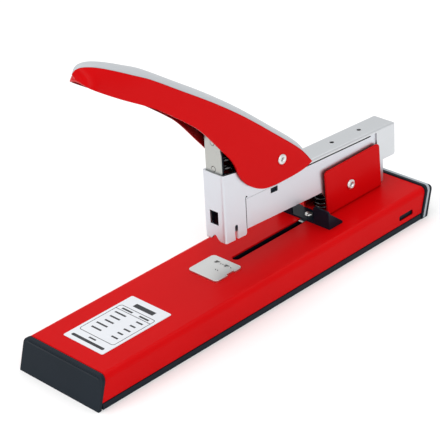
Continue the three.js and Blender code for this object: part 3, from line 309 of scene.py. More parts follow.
def mixed(tree, share, first, second):
    """A colour between two others; each is a hex value or a socket."""
    mix = add_node(tree, "ShaderNodeMix", {"data_type": "RGBA"})
    for socket, colour in ((mix.inputs[6], first), (mix.inputs[7], second)):
        if isinstance(colour, str):
            socket.default_value = linear(colour)
        else:
            tree.links.new(colour, socket)
    tree.links.new(share, mix.inputs[0])
    return mix.outputs[2]


def tones_painted_shade_and_wear(tree, shader, place, tones, drift_mm, wear_mm, shade_reach_mm):
    """The base colour of a finish from its four tones, with painted shade in the piece's own hollows."""
    low_hex, high_hex, worn_hex, painted_shade_hex = tones
    shade = mixed(tree, noise(tree, place, drift_mm, 2.0), low_hex, high_hex)
    # Painted shade: the occlusion node darkens the colour in the piece's own hollows and grooves, where
    # shade falls.
    open_sky = add_node(tree, "ShaderNodeAmbientOcclusion", {"samples": 8, "only_local": True},
                        {"Distance": shade_reach_mm * MM})
    hollow = ranged(tree, open_sky.outputs["AO"], {"From Min": 0.7, "From Max": 0.35})
    shade = mixed(tree, hollow, shade, painted_shade_hex)
    softened = add_node(tree, "ShaderNodeBevel", {"samples": 4}, {"Radius": wear_mm * MM})
    flatness = add_node(tree, "ShaderNodeVectorMath", {"operation": "DOT_PRODUCT"})
    tree.links.new(softened.outputs["Normal"], flatness.inputs[0])
    tree.links.new(add_node(tree, "ShaderNodeNewGeometry").outputs["True Normal"], flatness.inputs[1])
    edge = ranged(tree, flatness.outputs["Value"], {"From Min": 0.98, "From Max": 0.75})
    worn = calculate(tree, "MULTIPLY", edge, noise(tree, place, RUB_MM, 4.0))
    tree.links.new(mixed(tree, worn, shade, worn_hex), shader.inputs["Base Color"])


# %% [markdown]
# ### Red enamel
# The base, the bracket and the handle are steel sheet with a stoved red enamel. It is a smooth coat
# over a saturated colour, with a faint orange-peel of about 3 mm that keeps the highlights alive. On
# the edges the coat is thin and a darker red shows.

# %% Red enamel
def make_red_enamel():
    material, tree, shader, place = new_material(
        "red_stoved_enamel", "#CC070B", 0.0, 0.32, IOR=1.5, Specular_IOR_Level=0.045, Coat_Weight=0.02,
        Coat_Roughness=0.1)
    waviness(tree, shader, place, 3.0, 0.003, 0.28, 0.38)
    # The fourth tone, a near-black red, is painted shade for the insides of the handle, the bracket and the
    # shell.
    tones = ("#BF0408", "#C8070B", "#9C090B", "#240204")
    tones_painted_shade_and_wear(tree, shader, place, tones, 40.0, 0.5, 60.0)
    return material


red_enamel = make_red_enamel()
print("made", red_enamel.name)

# %% [markdown]
# ### Moulded plastics
# The end caps and the tray are black-blue ABS, moulded in a tool with a fine spark-eroded grain. The
# grip cover is a pale grey ABS from a smoother tool. Real grain is about 0.3 mm, drawn at 0.6 mm so
# that it shows at this picture size. Rubbed edges of black ABS turn grey. The same recipe, with its own
# figures, makes every finish that isn't bare metal.

# %% Plastics
def make_grained(name, tones, low, high, grain_mm, depth_mm, shine):
    """A plastic or a coat whose grain drives its bump and its roughness, from low to high."""
    material, tree, shader, place = new_material(name, tones[0], 0.0, (low + high) / 2, IOR=1.53,
                                                 Specular_IOR_Level=shine)
    waviness(tree, shader, place, grain_mm, depth_mm, low, high)
    # The fourth tone, near black, is painted shade in the piece's small hollows.
    tones_painted_shade_and_wear(tree, shader, place, (*tones, "#08090B"), 30.0, 0.4, 1.5)
    return material


black_abs, grey_abs, cap_highlight_abs = [make_grained(*recipe) for recipe in (
    ("black_grained_abs", ("#131B23", "#18212A", "#2C343C"), 0.38, 0.5, 0.6, 0.012, 0.1),
    ("grey_satin_abs", ("#AFB3B7", "#B5B9BD", "#CDD0D3"), 0.36, 0.46, 1.2, 0.005, 0.4),
    # A pale grey that is painted highlight: the light reflected by the rear cap's black bevel.
    ("painted_highlight_abs", ("#959DA4", "#9BA3AA", "#B4BAC0"), 0.2, 0.28, 2.0, 0.001, 0.5),
)]
print("made", black_abs.name, grey_abs.name, cap_highlight_abs.name)

# %% [markdown]
# ### Plated and polished steel
# The head is bright nickel over pressed steel, slightly clouded by the sheet under it. The magazine
# cover is satin zinc, with fine lines from rolling along its length. A metal keeps the default IOR,
# and its tint is in its base colour. Where the plating is rubbed it turns brighter.

# %% Metals
def make_rolled_metal(name, tones, low, high, line_mm, length_mm, depth_mm):
    """Metal sheet with fine rolling lines along X."""
    material, tree, shader, place = new_material(name, tones[0], 1.0, (low + high) / 2)
    stretch = add_node(tree, "ShaderNodeMapping", inputs={"Scale": (line_mm / length_mm, 1.0, 1.0)},
                       links={"Vector": place})
    waviness(tree, shader, stretch.outputs["Vector"], line_mm, depth_mm, low, high)
    # The fourth tone, a dark grey, is painted shade in the piece's small hollows.
    tones_painted_shade_and_wear(tree, shader, place, (*tones, "#17181A"), 35.0, 0.3, 2.0)
    return material


nickel, zinc, steel, blade_steel = [make_rolled_metal(*recipe) for recipe in (
    ("bright_nickel_plate", ("#D0D3D9", "#D5D8DE", "#E6E8EC"), 0.36, 0.4, 6.0, 30.0, 0.0015),
    ("satin_zinc_plate", ("#CFD2D5", "#D5D8DB", "#E6E8EA"), 0.34, 0.42, 0.6, 14.0, 0.001),
    ("ground_bright_steel", ("#DADBDA", "#E0E1E0", "#EFEFEE"), 0.28, 0.36, 0.5, 8.0, 0.001),
    ("ground_blade_steel", ("#B2B3AF", "#BABBB7", "#D4D4D1"), 0.3, 0.38, 0.5, 8.0, 0.001),
)]
print("made", nickel.name, zinc.name, steel.name, blade_steel.name)

# %% [markdown]
# ### Dark steels and printed film
# The springs and the paper guide are black: an oxide finish with a little oil in it, dark and half
# glossy. It is modelled as a dark coat rather than as bare metal, because the oxide hides the metal's
# mirror. The label is a white film with a dull black ink.

# %% Dark steels and film
black_oxide, spring_steel, label_film, label_ink = [make_grained(*recipe) for recipe in (
    ("black_oxide_steel", ("#08121D", "#0B1622", "#232B34"), 0.3, 0.4, 1.0, 0.002, 0.12),
    ("oiled_spring_steel", ("#08080A", "#0C0C0F", "#3A3A3E"), 0.12, 0.2, 1.0, 0.001, 0.8),
    ("white_label_film", ("#DADDE2", "#DEE1E6", "#CDD0D4"), 0.42, 0.55, 2.0, 0.001, 0.3),
    ("black_label_ink", ("#2A2C30", "#303236", "#4A4C50"), 0.45, 0.55, 1.0, 0.001, 0.3),
)]
print("made", black_oxide.name, spring_steel.name, label_film.name, label_ink.name)

# %% [markdown]
# ## The base
# The base is one steel channel, bent down along both long sides with a 4 mm bend. Pushing the rounded
# section along X and keeping only what lies between its two leaning ends gives the same shape as the
# press tool. The slot for the paper guide and the two vents are cut last.

# %% Sizes of the base
base_length = 287.0
rim_half = 34.9
shell_half = 34.4
base_height = 20.0
base_wall = 1.2
base_bend = 4.0
front_lean = 7.0
rear_lean = 6.5
rim_height = 3.6
gap = 0.3
over = 5.0

front_foot = -base_length / 2
rear_top = base_length / 2
front_top = front_foot + front_lean
rear_foot = rear_top - rear_lean
front_cap_wall = 2.2
rear_cap_wall = 5.6
rear_cap_proud = 0.8
hinge_x, hinge_z, pin_bore = 94.0, 33.6, 2.7
bracket_front, bracket_rear = hinge_x - 22.2, hinge_x + 28.3
bracket_half, bracket_wall, bracket_bend = 10.4, 1.3, 2.2
anvil_rear = hinge_x - 100.2
anvil_front = anvil_rear - 22.0
slot_half = 2.6
slot_front, slot_rear = anvil_rear + 4.5, bracket_front - 3.9
vent_x, vent_z = 117.9, 8.5
vent_half_length, vent_half_height, vent_corner = 6.4, 1.7, 0.7
spine_front, spine_rear = anvil_front - 4.0, 124.0
print("slot from", slot_front, "to", slot_rear, "mm")


# %% [markdown]
# ### The pressed shell
# The shell is a channel: the rounded outline less the same outline drawn in by the sheet. It is cut
# off by a side view that leans at both ends, a little inside the caps.

# %% Base shell
def side_view(front_margin, rear_margin, top):
    """The base from the side, between its two leaning ends."""
    rise = top / base_height
    front, rear = front_foot + front_margin, rear_foot - rear_margin
    return [(front, 0), (rear, 0), (rear + rear_lean * rise, top), (front + front_lean * rise, top)]


def arch(half, bottom, top, radius):
    """A box section with its two top corners rounded."""
    return rectangle(-half, half, bottom, top, high_right=radius, high_left=radius, steps=12)


def long_bar(name, section):
    """A section pushed far past both ends of the base, to be cut off later."""
    return pushed(name, section, "x", -base_length, base_length)


def make_base_shell():
    shell = long_bar("base_shell_pressed", arch(shell_half, rim_height + gap, base_height, base_bend))
    cut(shell, long_bar("inside", arch(shell_half - base_wall, -over, base_height - base_wall,
                                       base_bend - base_wall)))
    ends = side_view(front_cap_wall + gap, rear_cap_wall + gap, base_height + over)
    common(shell, through(ends, "y", rim_half + over))
    slot = rounded(slot_front, slot_rear, -slot_half, slot_half, slot_half * 0.98)
    cut(shell, pushed("slot", slot, "z", base_height - over, base_height + over))
    vent = rounded(vent_x - vent_half_length, vent_x + vent_half_length, vent_z - vent_half_height,
                   vent_z + vent_half_height, vent_corner)
    cut(shell, through(vent, "y", rim_half + over))
    finished(shell, red_enamel, "red_enamel", "base", "base_shell", edge=0.3)


make_base_shell()

# %% [markdown]
# ### End caps
# The caps are moulded plugs with a flat face that leans with the shell. Their edges are softer than
# metal, so their bevel is wider. A narrow pale band runs round the rear cap: a painted highlight where
# the black cap's glossy bevel reflects the light.

# %% End caps
plug_half, plug_wall = shell_half - base_wall - gap, 2.0
tongue_past_vent, tongue_in_plug, tongue_half_height = 1.5, 3, 2.7
band_front, band_rear, band_proud, band_depth = 4.2, 2.3, 0.06, 0.5


def plug(name, root, direction):
    """The hollow plug of a cap inside the shell's end."""
    half, top, bottom = plug_half, base_height - base_wall - gap, rim_height + gap
    radius, depth, wall = base_bend - base_wall, 6.0, plug_wall
    if direction > 0:
        run, hollow = (root - front_lean / 2, root + depth), (root + gap, root + depth + over)
    else:
        run, hollow = (root - depth, root + rear_lean / 2), (root - depth - over, root - gap)
    whole = pushed(name, arch(half, bottom, top, radius), "x", *run)
    inside = arch(half - wall, bottom + wall, top - wall, radius / 2)
    return cut(whole, pushed("hollow", inside, "x", *hollow))


def make_front_cap():
    face = long_bar("front_cap_moulded", arch(rim_half, 0, base_height, base_bend))
    lean = [(front_foot, 0), (front_foot + front_cap_wall, 0),
            (front_top + front_cap_wall, base_height + 1), (front_top, base_height + 1)]
    common(face, through(lean, "y", rim_half + over))
    joined(face, plug("front_plug", front_top + front_cap_wall, 1))
    finished(face, black_abs, "black_plastic", "base", "front_end_cap", edge=0.6)


def make_rear_cap():
    half, top = rim_half + rear_cap_proud / 2, base_height + rear_cap_proud
    face = long_bar("rear_cap_moulded", arch(half, 0, top, base_bend))
    lean = filleted([(rear_foot - rear_cap_wall, 0, 0), (rear_foot, 0, 0), (rear_top, top, base_bend / 2),
                     (rear_top - rear_cap_wall, top, rear_cap_proud / 2)])
    common(face, through(lean, "y", half + over))
    joined(face, plug("rear_plug", rear_foot - rear_cap_wall, -1))
    run = (vent_x - vent_half_length - tongue_past_vent, rear_foot - rear_cap_wall - tongue_in_plug)
    tall = (vent_z - tongue_half_height, vent_z + tongue_half_height)
    for low, high in ((-plug_half, plug_wall - plug_half), (plug_half - plug_wall, plug_half)):
        joined(face, box("tongue", *run, low, high, *tall))
    finished(face, black_abs, "black_plastic", "base", "rear_end_cap", edge=0.5)


def make_cap_highlight_band():
    """A pale band over the rear cap's bevel: painted highlight where the glossy black bevel reflects light.
    """
    half, top = rim_half + rear_cap_proud / 2 + band_proud, base_height + rear_cap_proud + band_proud
    band = long_bar("rear_cap_painted_highlight", arch(half, 0.4, top, base_bend))
    inside = arch(half - band_depth, -over, top - band_depth, base_bend - band_depth)
    cut(band, through(inside, "x", 2 * base_length))
    front, rear, high = rear_foot - band_front, rear_foot - band_rear, top + 1
    lean = rear_lean * high / base_height
    outline = [(front, 0), (rear, 0), (rear + lean, high), (front + lean, high)]
    common(band, through(outline, "y", half + over))
    finished(band, cap_highlight_abs, "black_plastic", "base", edge=0.1)


make_front_cap()
make_rear_cap()
make_cap_highlight_band()


# %% [markdown]
# ### Base tray
# The tray is one moulded dish that closes the base from below, and it shows only as a dark rim along the
# foot. Screws go up through its floor, so each screw has a recess for its head.

# %% Tray
tray_floor, tray_wall = 2.4, 2.2
screw_from_end, screw_y, head_radius, head_depth, shank_radius = 8.0, 18.5, 3.1, 1.5, 1.8


def make_tray():
    front = front_foot + front_cap_wall + front_lean * rim_height / base_height + gap
    rear = rear_foot - rear_cap_wall - gap
    tray = pushed("tray_moulded", rectangle(front, rear, -rim_half, rim_half), "z", 0, rim_height)
    cut(tray, box("inside", -base_length, base_length, -rim_half + tray_wall, rim_half - tray_wall,
                  tray_floor, rim_height + over))
    for x in (spine_front + screw_from_end, spine_rear - screw_from_end):
        for y in (-screw_y, screw_y):
            cut(tray, pushed("recess", circle(head_radius, x, y), "z", -over, head_depth))
            cut(tray, pushed("shank", circle(shank_radius, x, y), "z", -over, rim_height + over))
    finished(tray, black_abs, "black_plastic", "base", "base_tray", edge=0.4)


make_tray()

# %% [markdown]
# ### Anvil
# The anvil is a small plate of bright steel. Two clinching grooves near the head turn the staple's
# legs inward, and small punched marks stand beside them. All are real cuts, so that they take light and
# shade from any side.

# %% Anvil
anvil_top = base_height + 1.2


def make_anvil():
    half, groove_x, groove_y, rivet_y = 12.5, anvil_rear - 5.0, 4.1, 7.0
    plate = pushed("anvil_plate_ground", rounded(anvil_front, anvil_rear, -half, half, 2.5),
                   "z", base_height, anvil_top)
    for side in (-1, 1):
        y = side * groove_y
        groove = rounded(groove_x - 1.4, groove_x + 1.4, y - 1.7, y + 1.7, 0.5)
        cut(plate, pushed("groove", groove, "z", anvil_top - 1.0, anvil_top + over))
        cut(plate, pushed("bore", circle(2.3, anvil_front + 6.0, side * rivet_y), "z", base_height - over,
                          anvil_top - 0.5))
    stamps = [(groove_x, y) for y in (0.9, -0.9, -7.6)] + [(groove_x - 6.9, y) for y in (-1.6, -3.4)]
    for x, y in stamps:
        stamp = [(x - 0.8, y - 0.5), (x - 0.2, y - 0.5), (x + 0.6, y + 0.5), (x, y + 0.5)]
        cut(plate, pushed("stamp", stamp, "z", anvil_top - 0.5, anvil_top + over))
    notch_x = anvil_rear - 6.4
    cut(plate, box("notch", notch_x - 6.0, notch_x, -2 * half, -11.1, base_height - over, anvil_top + over))
    finished(plate, steel, "bright_steel", "base", "anvil_plate", edge=0.15)


make_anvil()

# %% [markdown]
# ### Label
# A printed film on the base. It carries a header bar, a ruled frame and short dashes, as thin layers of
# ink that stand 0.02 mm proud of the film.

# %% Label
label_length, label_width = 53.5, 34.5
film_thickness, ink_layer = 0.3, 0.02
label_front = front_top + (anvil_front - front_top - label_length) * 0.26
label_rear = label_front + label_length


def make_label():
    half = label_width / 2
    film = pushed("label_film_printed", rounded(label_front, label_rear, -half, half, 1.2),
                  "z", base_height, base_height + film_thickness)
    finished(film, label_film, "printed_film", "base", "capacity_label", edge=0.05)


def make_label_ink():
    layer = (base_height + film_thickness - ink_layer, base_height + film_thickness + ink_layer)
    ink = box("label_ink_rules", label_rear - 8.0, label_rear - 4.5, -9.0, 8.0, *layer)
    x0, x1, half, line, row_pitch = label_front + 10.0, label_rear - 10.5, 15.2, 0.45, 4.75
    bar = pushed("bar", rounded(label_front + 3.0, label_front + 5.2, -14.0, 14.0, 1.0), "z", *layer)
    rim = pushed("rim", rounded(x0, x1, -half, half, 2.0), "z", *layer)
    inside = rounded(x0 + line, x1 - line, line - half, half - line, 1.6)
    cut(rim, pushed("inside", inside, "z", layer[0] - over, layer[1] + over))
    strokes = [(x1 - 4.6, x1 - 4.6 + line, -half, half), (x1 - 3.2, x1 - 1.8, 2.5, 11.5),
               (x1 - 3.2, x1 - 1.8, -11.5, -3.5)]
    for row in range(5):
        x = x1 - 7.0 - row * row_pitch
        strokes += [(x - 1.3, x, -12.0 + row % 2, -6.5), (x - 1.3, x, 2.5, 12.0 - row % 3)]
    mark = box("mark", label_front + 7.0, label_front + 8.2, -3.0, 3.0, *layer)
    joined(ink, bar, mark, rim, *[box("stroke", *stroke, *layer) for stroke in strokes])
    finished(ink, label_ink, "printed_film", "base", edge=0)


make_label()
make_label_ink()

# %% [markdown]
# ## Turned pieces with Geometry Nodes
# A rivet head is the same profile all the way round, so one node tree can turn any of them. The base
# mesh is only the profile: a row of points with their radius in X and height in Z. The tree samples
# those points on a grid and wraps the grid round the axis, and the seam and both poles are merged.

# %% The turning tree
def new_tree(name, inputs):
    """An empty geometry tree with named inputs, and each input's identifier."""
    tree = bpy.data.node_groups.new(name, "GeometryNodeTree")
    names = {label: tree.interface.new_socket(label, in_out="INPUT", socket_type=kind).identifier
             for label, kind in {"Geometry": "NodeSocketGeometry", **inputs}.items()}
    tree.interface.new_socket("Geometry", in_out="OUTPUT", socket_type="NodeSocketGeometry")
    return tree, add_node(tree, "NodeGroupInput").outputs, names


def close_tree(tree, source, shape):
    """End a tree in Realize Instances and Set Material."""
    real = add_node(tree, "GeometryNodeRealizeInstances", links={"Geometry": shape})
    painted = add_node(tree, "GeometryNodeSetMaterial",
                       links={"Geometry": real.outputs["Geometry"], "Material": source["Material"]})
    add_node(tree, "NodeGroupOutput", links={"Geometry": painted.outputs["Geometry"]})


def make_turning_tree():
    tree, source, names = new_tree("turned_profile", {
        "Segments": "NodeSocketInt", "Material": "NodeSocketMaterial",
    })
    maths = partial(calculate, tree)
    count = add_node(tree, "GeometryNodeAttributeDomainSize", links={"Geometry": source["Geometry"]})
    around = maths("ADD", source["Segments"], 1)
    grid = add_node(tree, "GeometryNodeMeshGrid", inputs={"Size X": 1.0, "Size Y": 1.0},
                    links={"Vertices X": around, "Vertices Y": count.outputs["Point Count"]})
    spot = add_node(tree, "ShaderNodeSeparateXYZ",
                    links={"Vector": add_node(tree, "GeometryNodeInputPosition").outputs["Position"]})
    turn = maths("MULTIPLY", maths("ADD", spot.outputs["X"], 0.5), 2 * pi)
    steps = maths("SUBTRACT", count.outputs["Point Count"], 1)
    row = maths("MULTIPLY", maths("ADD", spot.outputs["Y"], 0.5), steps)
    row = maths("FLOOR", maths("ADD", row, 0.5))
    sample = add_node(tree, "GeometryNodeSampleIndex", {"data_type": "FLOAT_VECTOR", "domain": "POINT"},
                      links={"Geometry": source["Geometry"], "Index": row})
    tree.links.new(add_node(tree, "GeometryNodeInputPosition").outputs["Position"], sample.inputs["Value"])
    profile = add_node(tree, "ShaderNodeSeparateXYZ", links={"Vector": sample.outputs["Value"]})
    x = maths("MULTIPLY", profile.outputs["X"], maths("COSINE", turn))
    y = maths("MULTIPLY", profile.outputs["X"], maths("SINE", turn))
    spun = add_node(tree, "ShaderNodeCombineXYZ", links={"X": x, "Y": y, "Z": profile.outputs["Z"]})
    bent = add_node(tree, "GeometryNodeSetPosition",
                    links={"Geometry": grid.outputs["Mesh"], "Position": spun.outputs["Vector"]})
    sewn = add_node(tree, "GeometryNodeMergeByDistance", inputs={"Distance": 0.003 * MM},
                    links={"Geometry": bent.outputs["Geometry"]})
    close_tree(tree, source, sewn.outputs["Geometry"])
    return tree, names


turned_sides = 48
turning_tree, turning_names = make_turning_tree()


def turned(name, profile, material, slot, body, *nodes, place):
    """A rivet or pin from its profile of (radius, height) pairs."""
    bm = bmesh.new()
    points = [bm.verts.new((radius * MM, 0, height * MM)) for radius, height in profile]
    for first, second in zip(points, points[1:]):
        bm.edges.new((first, second))
    piece = as_object(bm, name)
    step = piece.modifiers.new("turning", "NODES")
    step.node_group = turning_tree
    step[turning_names["Segments"]] = turned_sides
    step[turning_names["Material"]] = material
    settled(piece)
    shape = bmesh.new()
    shape.from_mesh(piece.data)
    bmesh.ops.recalc_face_normals(shape, faces=shape.faces)
    shape.to_mesh(piece.data)
    shape.free()
    finished(piece, material, slot, body, *nodes, edge=0, place=place)


# %% [markdown]
# ### The two hinge rivets and the guide rivet
# The hinges are tubular rivets: a domed head with a dimple where the punch spread it. Each one crosses
# the whole sheet metal stack, so both of its heads are on one profile.

# %% Rivets
across = Matrix.Rotation(-pi / 2, 4, "X")
head_stands_off = 0.15


def cross_rivet_profile(half_grip):
    """Both dimpled heads of a rivet that lies across the stapler."""
    half = [(0.0, -0.5), (0.8, -0.45), (1.15, 0.2), (1.45, 0.7), (1.9, 0.9), (2.5, 0.86), (3.05, 0.62),
            (3.35, 0.3), (3.4, 0.0), (2.4, 0.0)]
    high = [(radius, half_grip + height) for radius, height in half]
    return [(radius, -height) for radius, height in high] + high[::-1]


turned("head_hinge_rivet_spread", cross_rivet_profile(bracket_half + head_stands_off), steel,
       "bright_steel", "base", "head_hinge_rivet",
       place=Matrix.Translation(Vector((hinge_x, 0, hinge_z)) * MM) @ across)

guide_rivet_x = slot_rear - slot_half - 0.2
guide_front = guide_rivet_x - 5.4
guide_top = base_height + 1.4
guide_rivet_profile = [
    (0.0, 14.1), (2.86, 14.1), (2.86, 15.1), (2.1, 15.1), (2.1, guide_top + 0.1), (2.6, guide_top + 0.1),
    (2.6, guide_top + 0.45), (2.4, guide_top + 0.85), (1.9, guide_top + 1.18), (1.2, guide_top + 1.36),
    (0.0, guide_top + 1.4),
]
turned("guide_rivet_domed", guide_rivet_profile, steel, "bright_steel", "guide", "guide_rivet",
       place=Matrix.Translation((guide_rivet_x * MM, 0, 0)))

# %% [markdown]
# ## Paper guide
# A black plate that slides in the slot. Its two ears stand up beside the head and stop the paper. Each
# ear is bent up from the plate, and a small side flange stiffens it.

# %% Paper guide
def make_guide():
    front, floor, wall, half, inner = guide_front, base_height + 0.1, 1.3, 22.7, 9.6
    rear, top, shoulder = front + 12.0, base_height + 12.2, base_height + 10.6
    gusset = [(front + wall / 2, floor), (rear, floor), (rear, guide_top), (front + wall, shoulder),
              (front + wall / 2, shoulder)]
    guide = box("paper_guide_bent", front, front + 11.2, -half, half, floor, guide_top)
    for side in (-1, 1):
        wing, ear, flange = [sorted((side * start, side * half))
                             for start in (bracket_half + 0.6, inner, half - wall)]
        joined(guide, box("wing", front, rear, *wing, floor, guide_top))
        joined(guide, pushed("ear", rectangle(*ear, floor, top, high_right=1.6, high_left=1.6), "x",
                             front, front + wall))
        joined(guide, pushed("gusset", gusset, "y", *flange))
    cut(guide, pushed("bore", circle(2.4, guide_rivet_x, 0), "z", 0, top))
    finished(guide, black_oxide, "black_steel", "guide", "paper_guide", edge=0.3)


def make_guide_clip():
    """The bright end of the clip that holds the guide in the slot."""
    outline = rectangle(guide_front - 2.4, guide_front + 1.6, -1.9, 1.9, 0.6, 0, 0, 0.6)
    clip = pushed("guide_clip_bent", outline, "z", base_height - 0.9, base_height - 0.1)
    finished(clip, steel, "bright_steel", "guide", edge=0.15)


make_guide()
make_guide_clip()

# %% [markdown]
# ## Hinge bracket
# A U of enamelled sheet that stands on the rear of the base and carries the head's hinge. The bend
# along its foot is drawn as a real radius on both sides of the sheet.

# %% Hinge bracket
def make_bracket():
    high = base_height + 31.0
    inner, inner_bend = bracket_half - bracket_wall, bracket_bend - bracket_wall
    channel = long_bar("hinge_bracket_bent", rectangle(-bracket_half, bracket_half, base_height, high + over,
                                                       bracket_bend, bracket_bend))
    inside = rectangle(-inner, inner, base_height + bracket_wall, high + 2 * over, inner_bend, inner_bend)
    cut(channel, through(inside, "x", 2 * base_length))
    side = rectangle(bracket_front, bracket_rear, base_height - over, high, 0, 0, 2.6, 2.6)
    common(channel, through(side, "y", rim_half))
    cut(channel, through(circle(pin_bore, hinge_x, hinge_z), "y", rim_half))
    finished(channel, red_enamel, "red_enamel", "base", "hinge_bracket")


make_bracket()

# %% [markdown]
# ## Springs with Geometry Nodes
# Both springs are one wire wound at an even pitch, with a closed turn at each end that gives a flat
# seat. The tree makes a line of points, turns each point's share of the line into an angle and a
# height, and sweeps a round wire along it.

# %% The winding tree
def make_winding_tree():
    tree, source, names = new_tree("wound_spring", {
        "Coil radius": "NodeSocketFloat", "Wire radius": "NodeSocketFloat", "Turns": "NodeSocketFloat",
        "Length": "NodeSocketFloat", "Material": "NodeSocketMaterial",
    })
    maths = partial(calculate, tree)
    per_turn = 28
    points = maths("ADD", maths("MULTIPLY", source["Turns"], per_turn), 1)
    line = add_node(tree, "GeometryNodeMeshLine", links={"Count": points})
    wound = maths("DIVIDE", add_node(tree, "GeometryNodeInputIndex").outputs["Index"], per_turn)
    angle = maths("MULTIPLY", wound, 2 * pi)
    wire = maths("MULTIPLY", source["Wire radius"], 2.02)
    first = maths("MINIMUM", wound, 1)
    last = maths("MAXIMUM", maths("SUBTRACT", wound, maths("SUBTRACT", source["Turns"], 1)))
    open_turns = maths("SUBTRACT", source["Turns"], 2)
    middle = maths("MINIMUM", maths("MAXIMUM", maths("SUBTRACT", wound, 1)), open_turns)
    closed = maths("MULTIPLY", wire, 3)
    pitch = maths("DIVIDE", maths("SUBTRACT", source["Length"], closed), open_turns)
    rise = maths("ADD", maths("MULTIPLY", wire, maths("ADD", first, last)), maths("MULTIPLY", pitch, middle))
    height = maths("ADD", rise, source["Wire radius"])
    x = maths("MULTIPLY", source["Coil radius"], maths("COSINE", angle))
    y = maths("MULTIPLY", source["Coil radius"], maths("SINE", angle))
    spot = add_node(tree, "ShaderNodeCombineXYZ", links={"X": x, "Y": y, "Z": height})
    wrapped = add_node(tree, "GeometryNodeSetPosition",
                       links={"Geometry": line.outputs["Mesh"], "Position": spot.outputs["Vector"]})
    path = add_node(tree, "GeometryNodeMeshToCurve", links={"Mesh": wrapped.outputs["Geometry"]})
    ring = add_node(tree, "GeometryNodeCurvePrimitiveCircle", inputs={"Resolution": 12},
                    links={"Radius": source["Wire radius"]})
    swept = add_node(tree, "GeometryNodeCurveToMesh", inputs={"Fill Caps": True},
                     links={"Curve": path.outputs["Curve"], "Profile Curve": ring.outputs["Curve"]})
    close_tree(tree, source, swept.outputs["Mesh"])
    return tree, names


winding_tree, winding_names = make_winding_tree()


def wound(name, coil_radius, wire_radius, turns, length, body, node, place):
    """One spring at its place, standing on its seat."""
    bm = bmesh.new()
    bm.verts.new((0, 0, 0))
    piece = as_object(bm, name)
    step = piece.modifiers.new("winding", "NODES")
    step.node_group = winding_tree
    for label, value in (("Coil radius", coil_radius * MM), ("Wire radius", wire_radius * MM),
                         ("Turns", float(turns)), ("Length", length * MM), ("Material", spring_steel)):
        step[winding_names[label]] = value
    settled(piece)
    return finished(piece, spring_steel, "black_steel", body, node, edge=0, place=place)


# %% [markdown]
# ## The head's own frame
# The head is drawn level around its hinge and then tilted nose up by 3.2 degrees, and the handle is
# drawn along its own chord and then lifted. Two matrices hold those places.

# %% Places of the head and the handle
tilt = radians(3.2)
head_place = Matrix.Translation(Vector((hinge_x, 0, hinge_z)) * MM) @ Matrix.Rotation(tilt, 4, "Y")
lever_x, lever_z = -60.2, 38.3
lever_place = head_place @ Matrix.Translation(Vector((lever_x, 0, lever_z)) * MM) @ Matrix.Rotation(
    radians(32.75), 4, "Y")
nose = -108.5
print("handle hinge at", [round(v, 5) for v in lever_place.translation])

# %% [markdown]
# ### The two return springs
# One spring stands on the bracket and lifts the head, the other stands in the head and lifts the driver
# with the handle. Both shorten when their joint moves.

# %% Springs
seat = base_height + bracket_wall + gap
from_hinge, coil_radius, wire_radius = 14.5, 5.6, 0.7
spring_ceiling = hinge_z + (from_hinge - coil_radius - wire_radius) * sin(tilt) + 2.2 * cos(tilt)
head_spring = wound("head_spring_wound", coil_radius, wire_radius, 5, spring_ceiling - gap - seat, "base",
                    "head_return_spring", Matrix.Translation(Vector((hinge_x - from_hinge, 0, seat)) * MM))
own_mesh(head_spring)

lever_seat, lever_shelf = 22.3, 65.5
lever_spring_length = lever_shelf - lever_seat
lever_spot = Vector((nose + 11.0, 0, lever_seat)) * MM
lever_spring = wound("handle_spring_wound", 4.9, 0.8, 9, lever_spring_length, "head", "handle_return_spring",
                     head_place @ Matrix.Translation(lever_spot))
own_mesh(lever_spring)

# %% [markdown]
# ## Head frame
# The head is one folded nickel-plated sheet: a U in plan that wraps round the front, with a wider
# housing at its nose. The side view is pushed across and kept only where the bent sheet is, and the
# window, the keyhole, the square hole and the arch of the foot are cut through it.

# %% Head frame
frame_half, frame_inner, housing_half = 7.9, 6.9, 8.6
front_wall = 1.2
housing_bottom, post_top, deck_height = -1.0, 43.5, 30.0
joggle_x = nose + 18.0
step_height = 23.0


def frame_side():
    """The head from the side, level around its hinge."""
    ear, r = 7.4, 1.4
    return filleted([
        (nose, housing_bottom, r), (joggle_x, housing_bottom, r), (joggle_x, 2.2, 0), (-24.0, 2.2, r),
        (-17.0, -7.0, r), (18.5, -7.0, r), (22.0, -10.4, r), (33.5, -10.4, r), (33.5, 26.9, r),
        (lever_x + ear + r, 26.9, r), (lever_x + ear, lever_z + ear, ear * 0.8),
        (lever_x - ear, lever_z + ear, ear * 0.8), (lever_x - ear * 1.6, deck_height, ear / 2),
        (joggle_x + ear / 3, deck_height, ear / 2), (nose + 11.8, post_top - r, r), (nose, post_top, 0),
    ], 10)


def wrap(name, half):
    """A U in plan, open to the rear."""
    sheet = pushed(name, rectangle(nose, 38.5, -half, half, 1.7, 0, 0, 1.7), "z", -90, 90)
    inside = rectangle(nose + front_wall, 43.5, -frame_inner, frame_inner, 0.5, 0, 0, 0.5)
    return cut(sheet, through(inside, "z", 130))


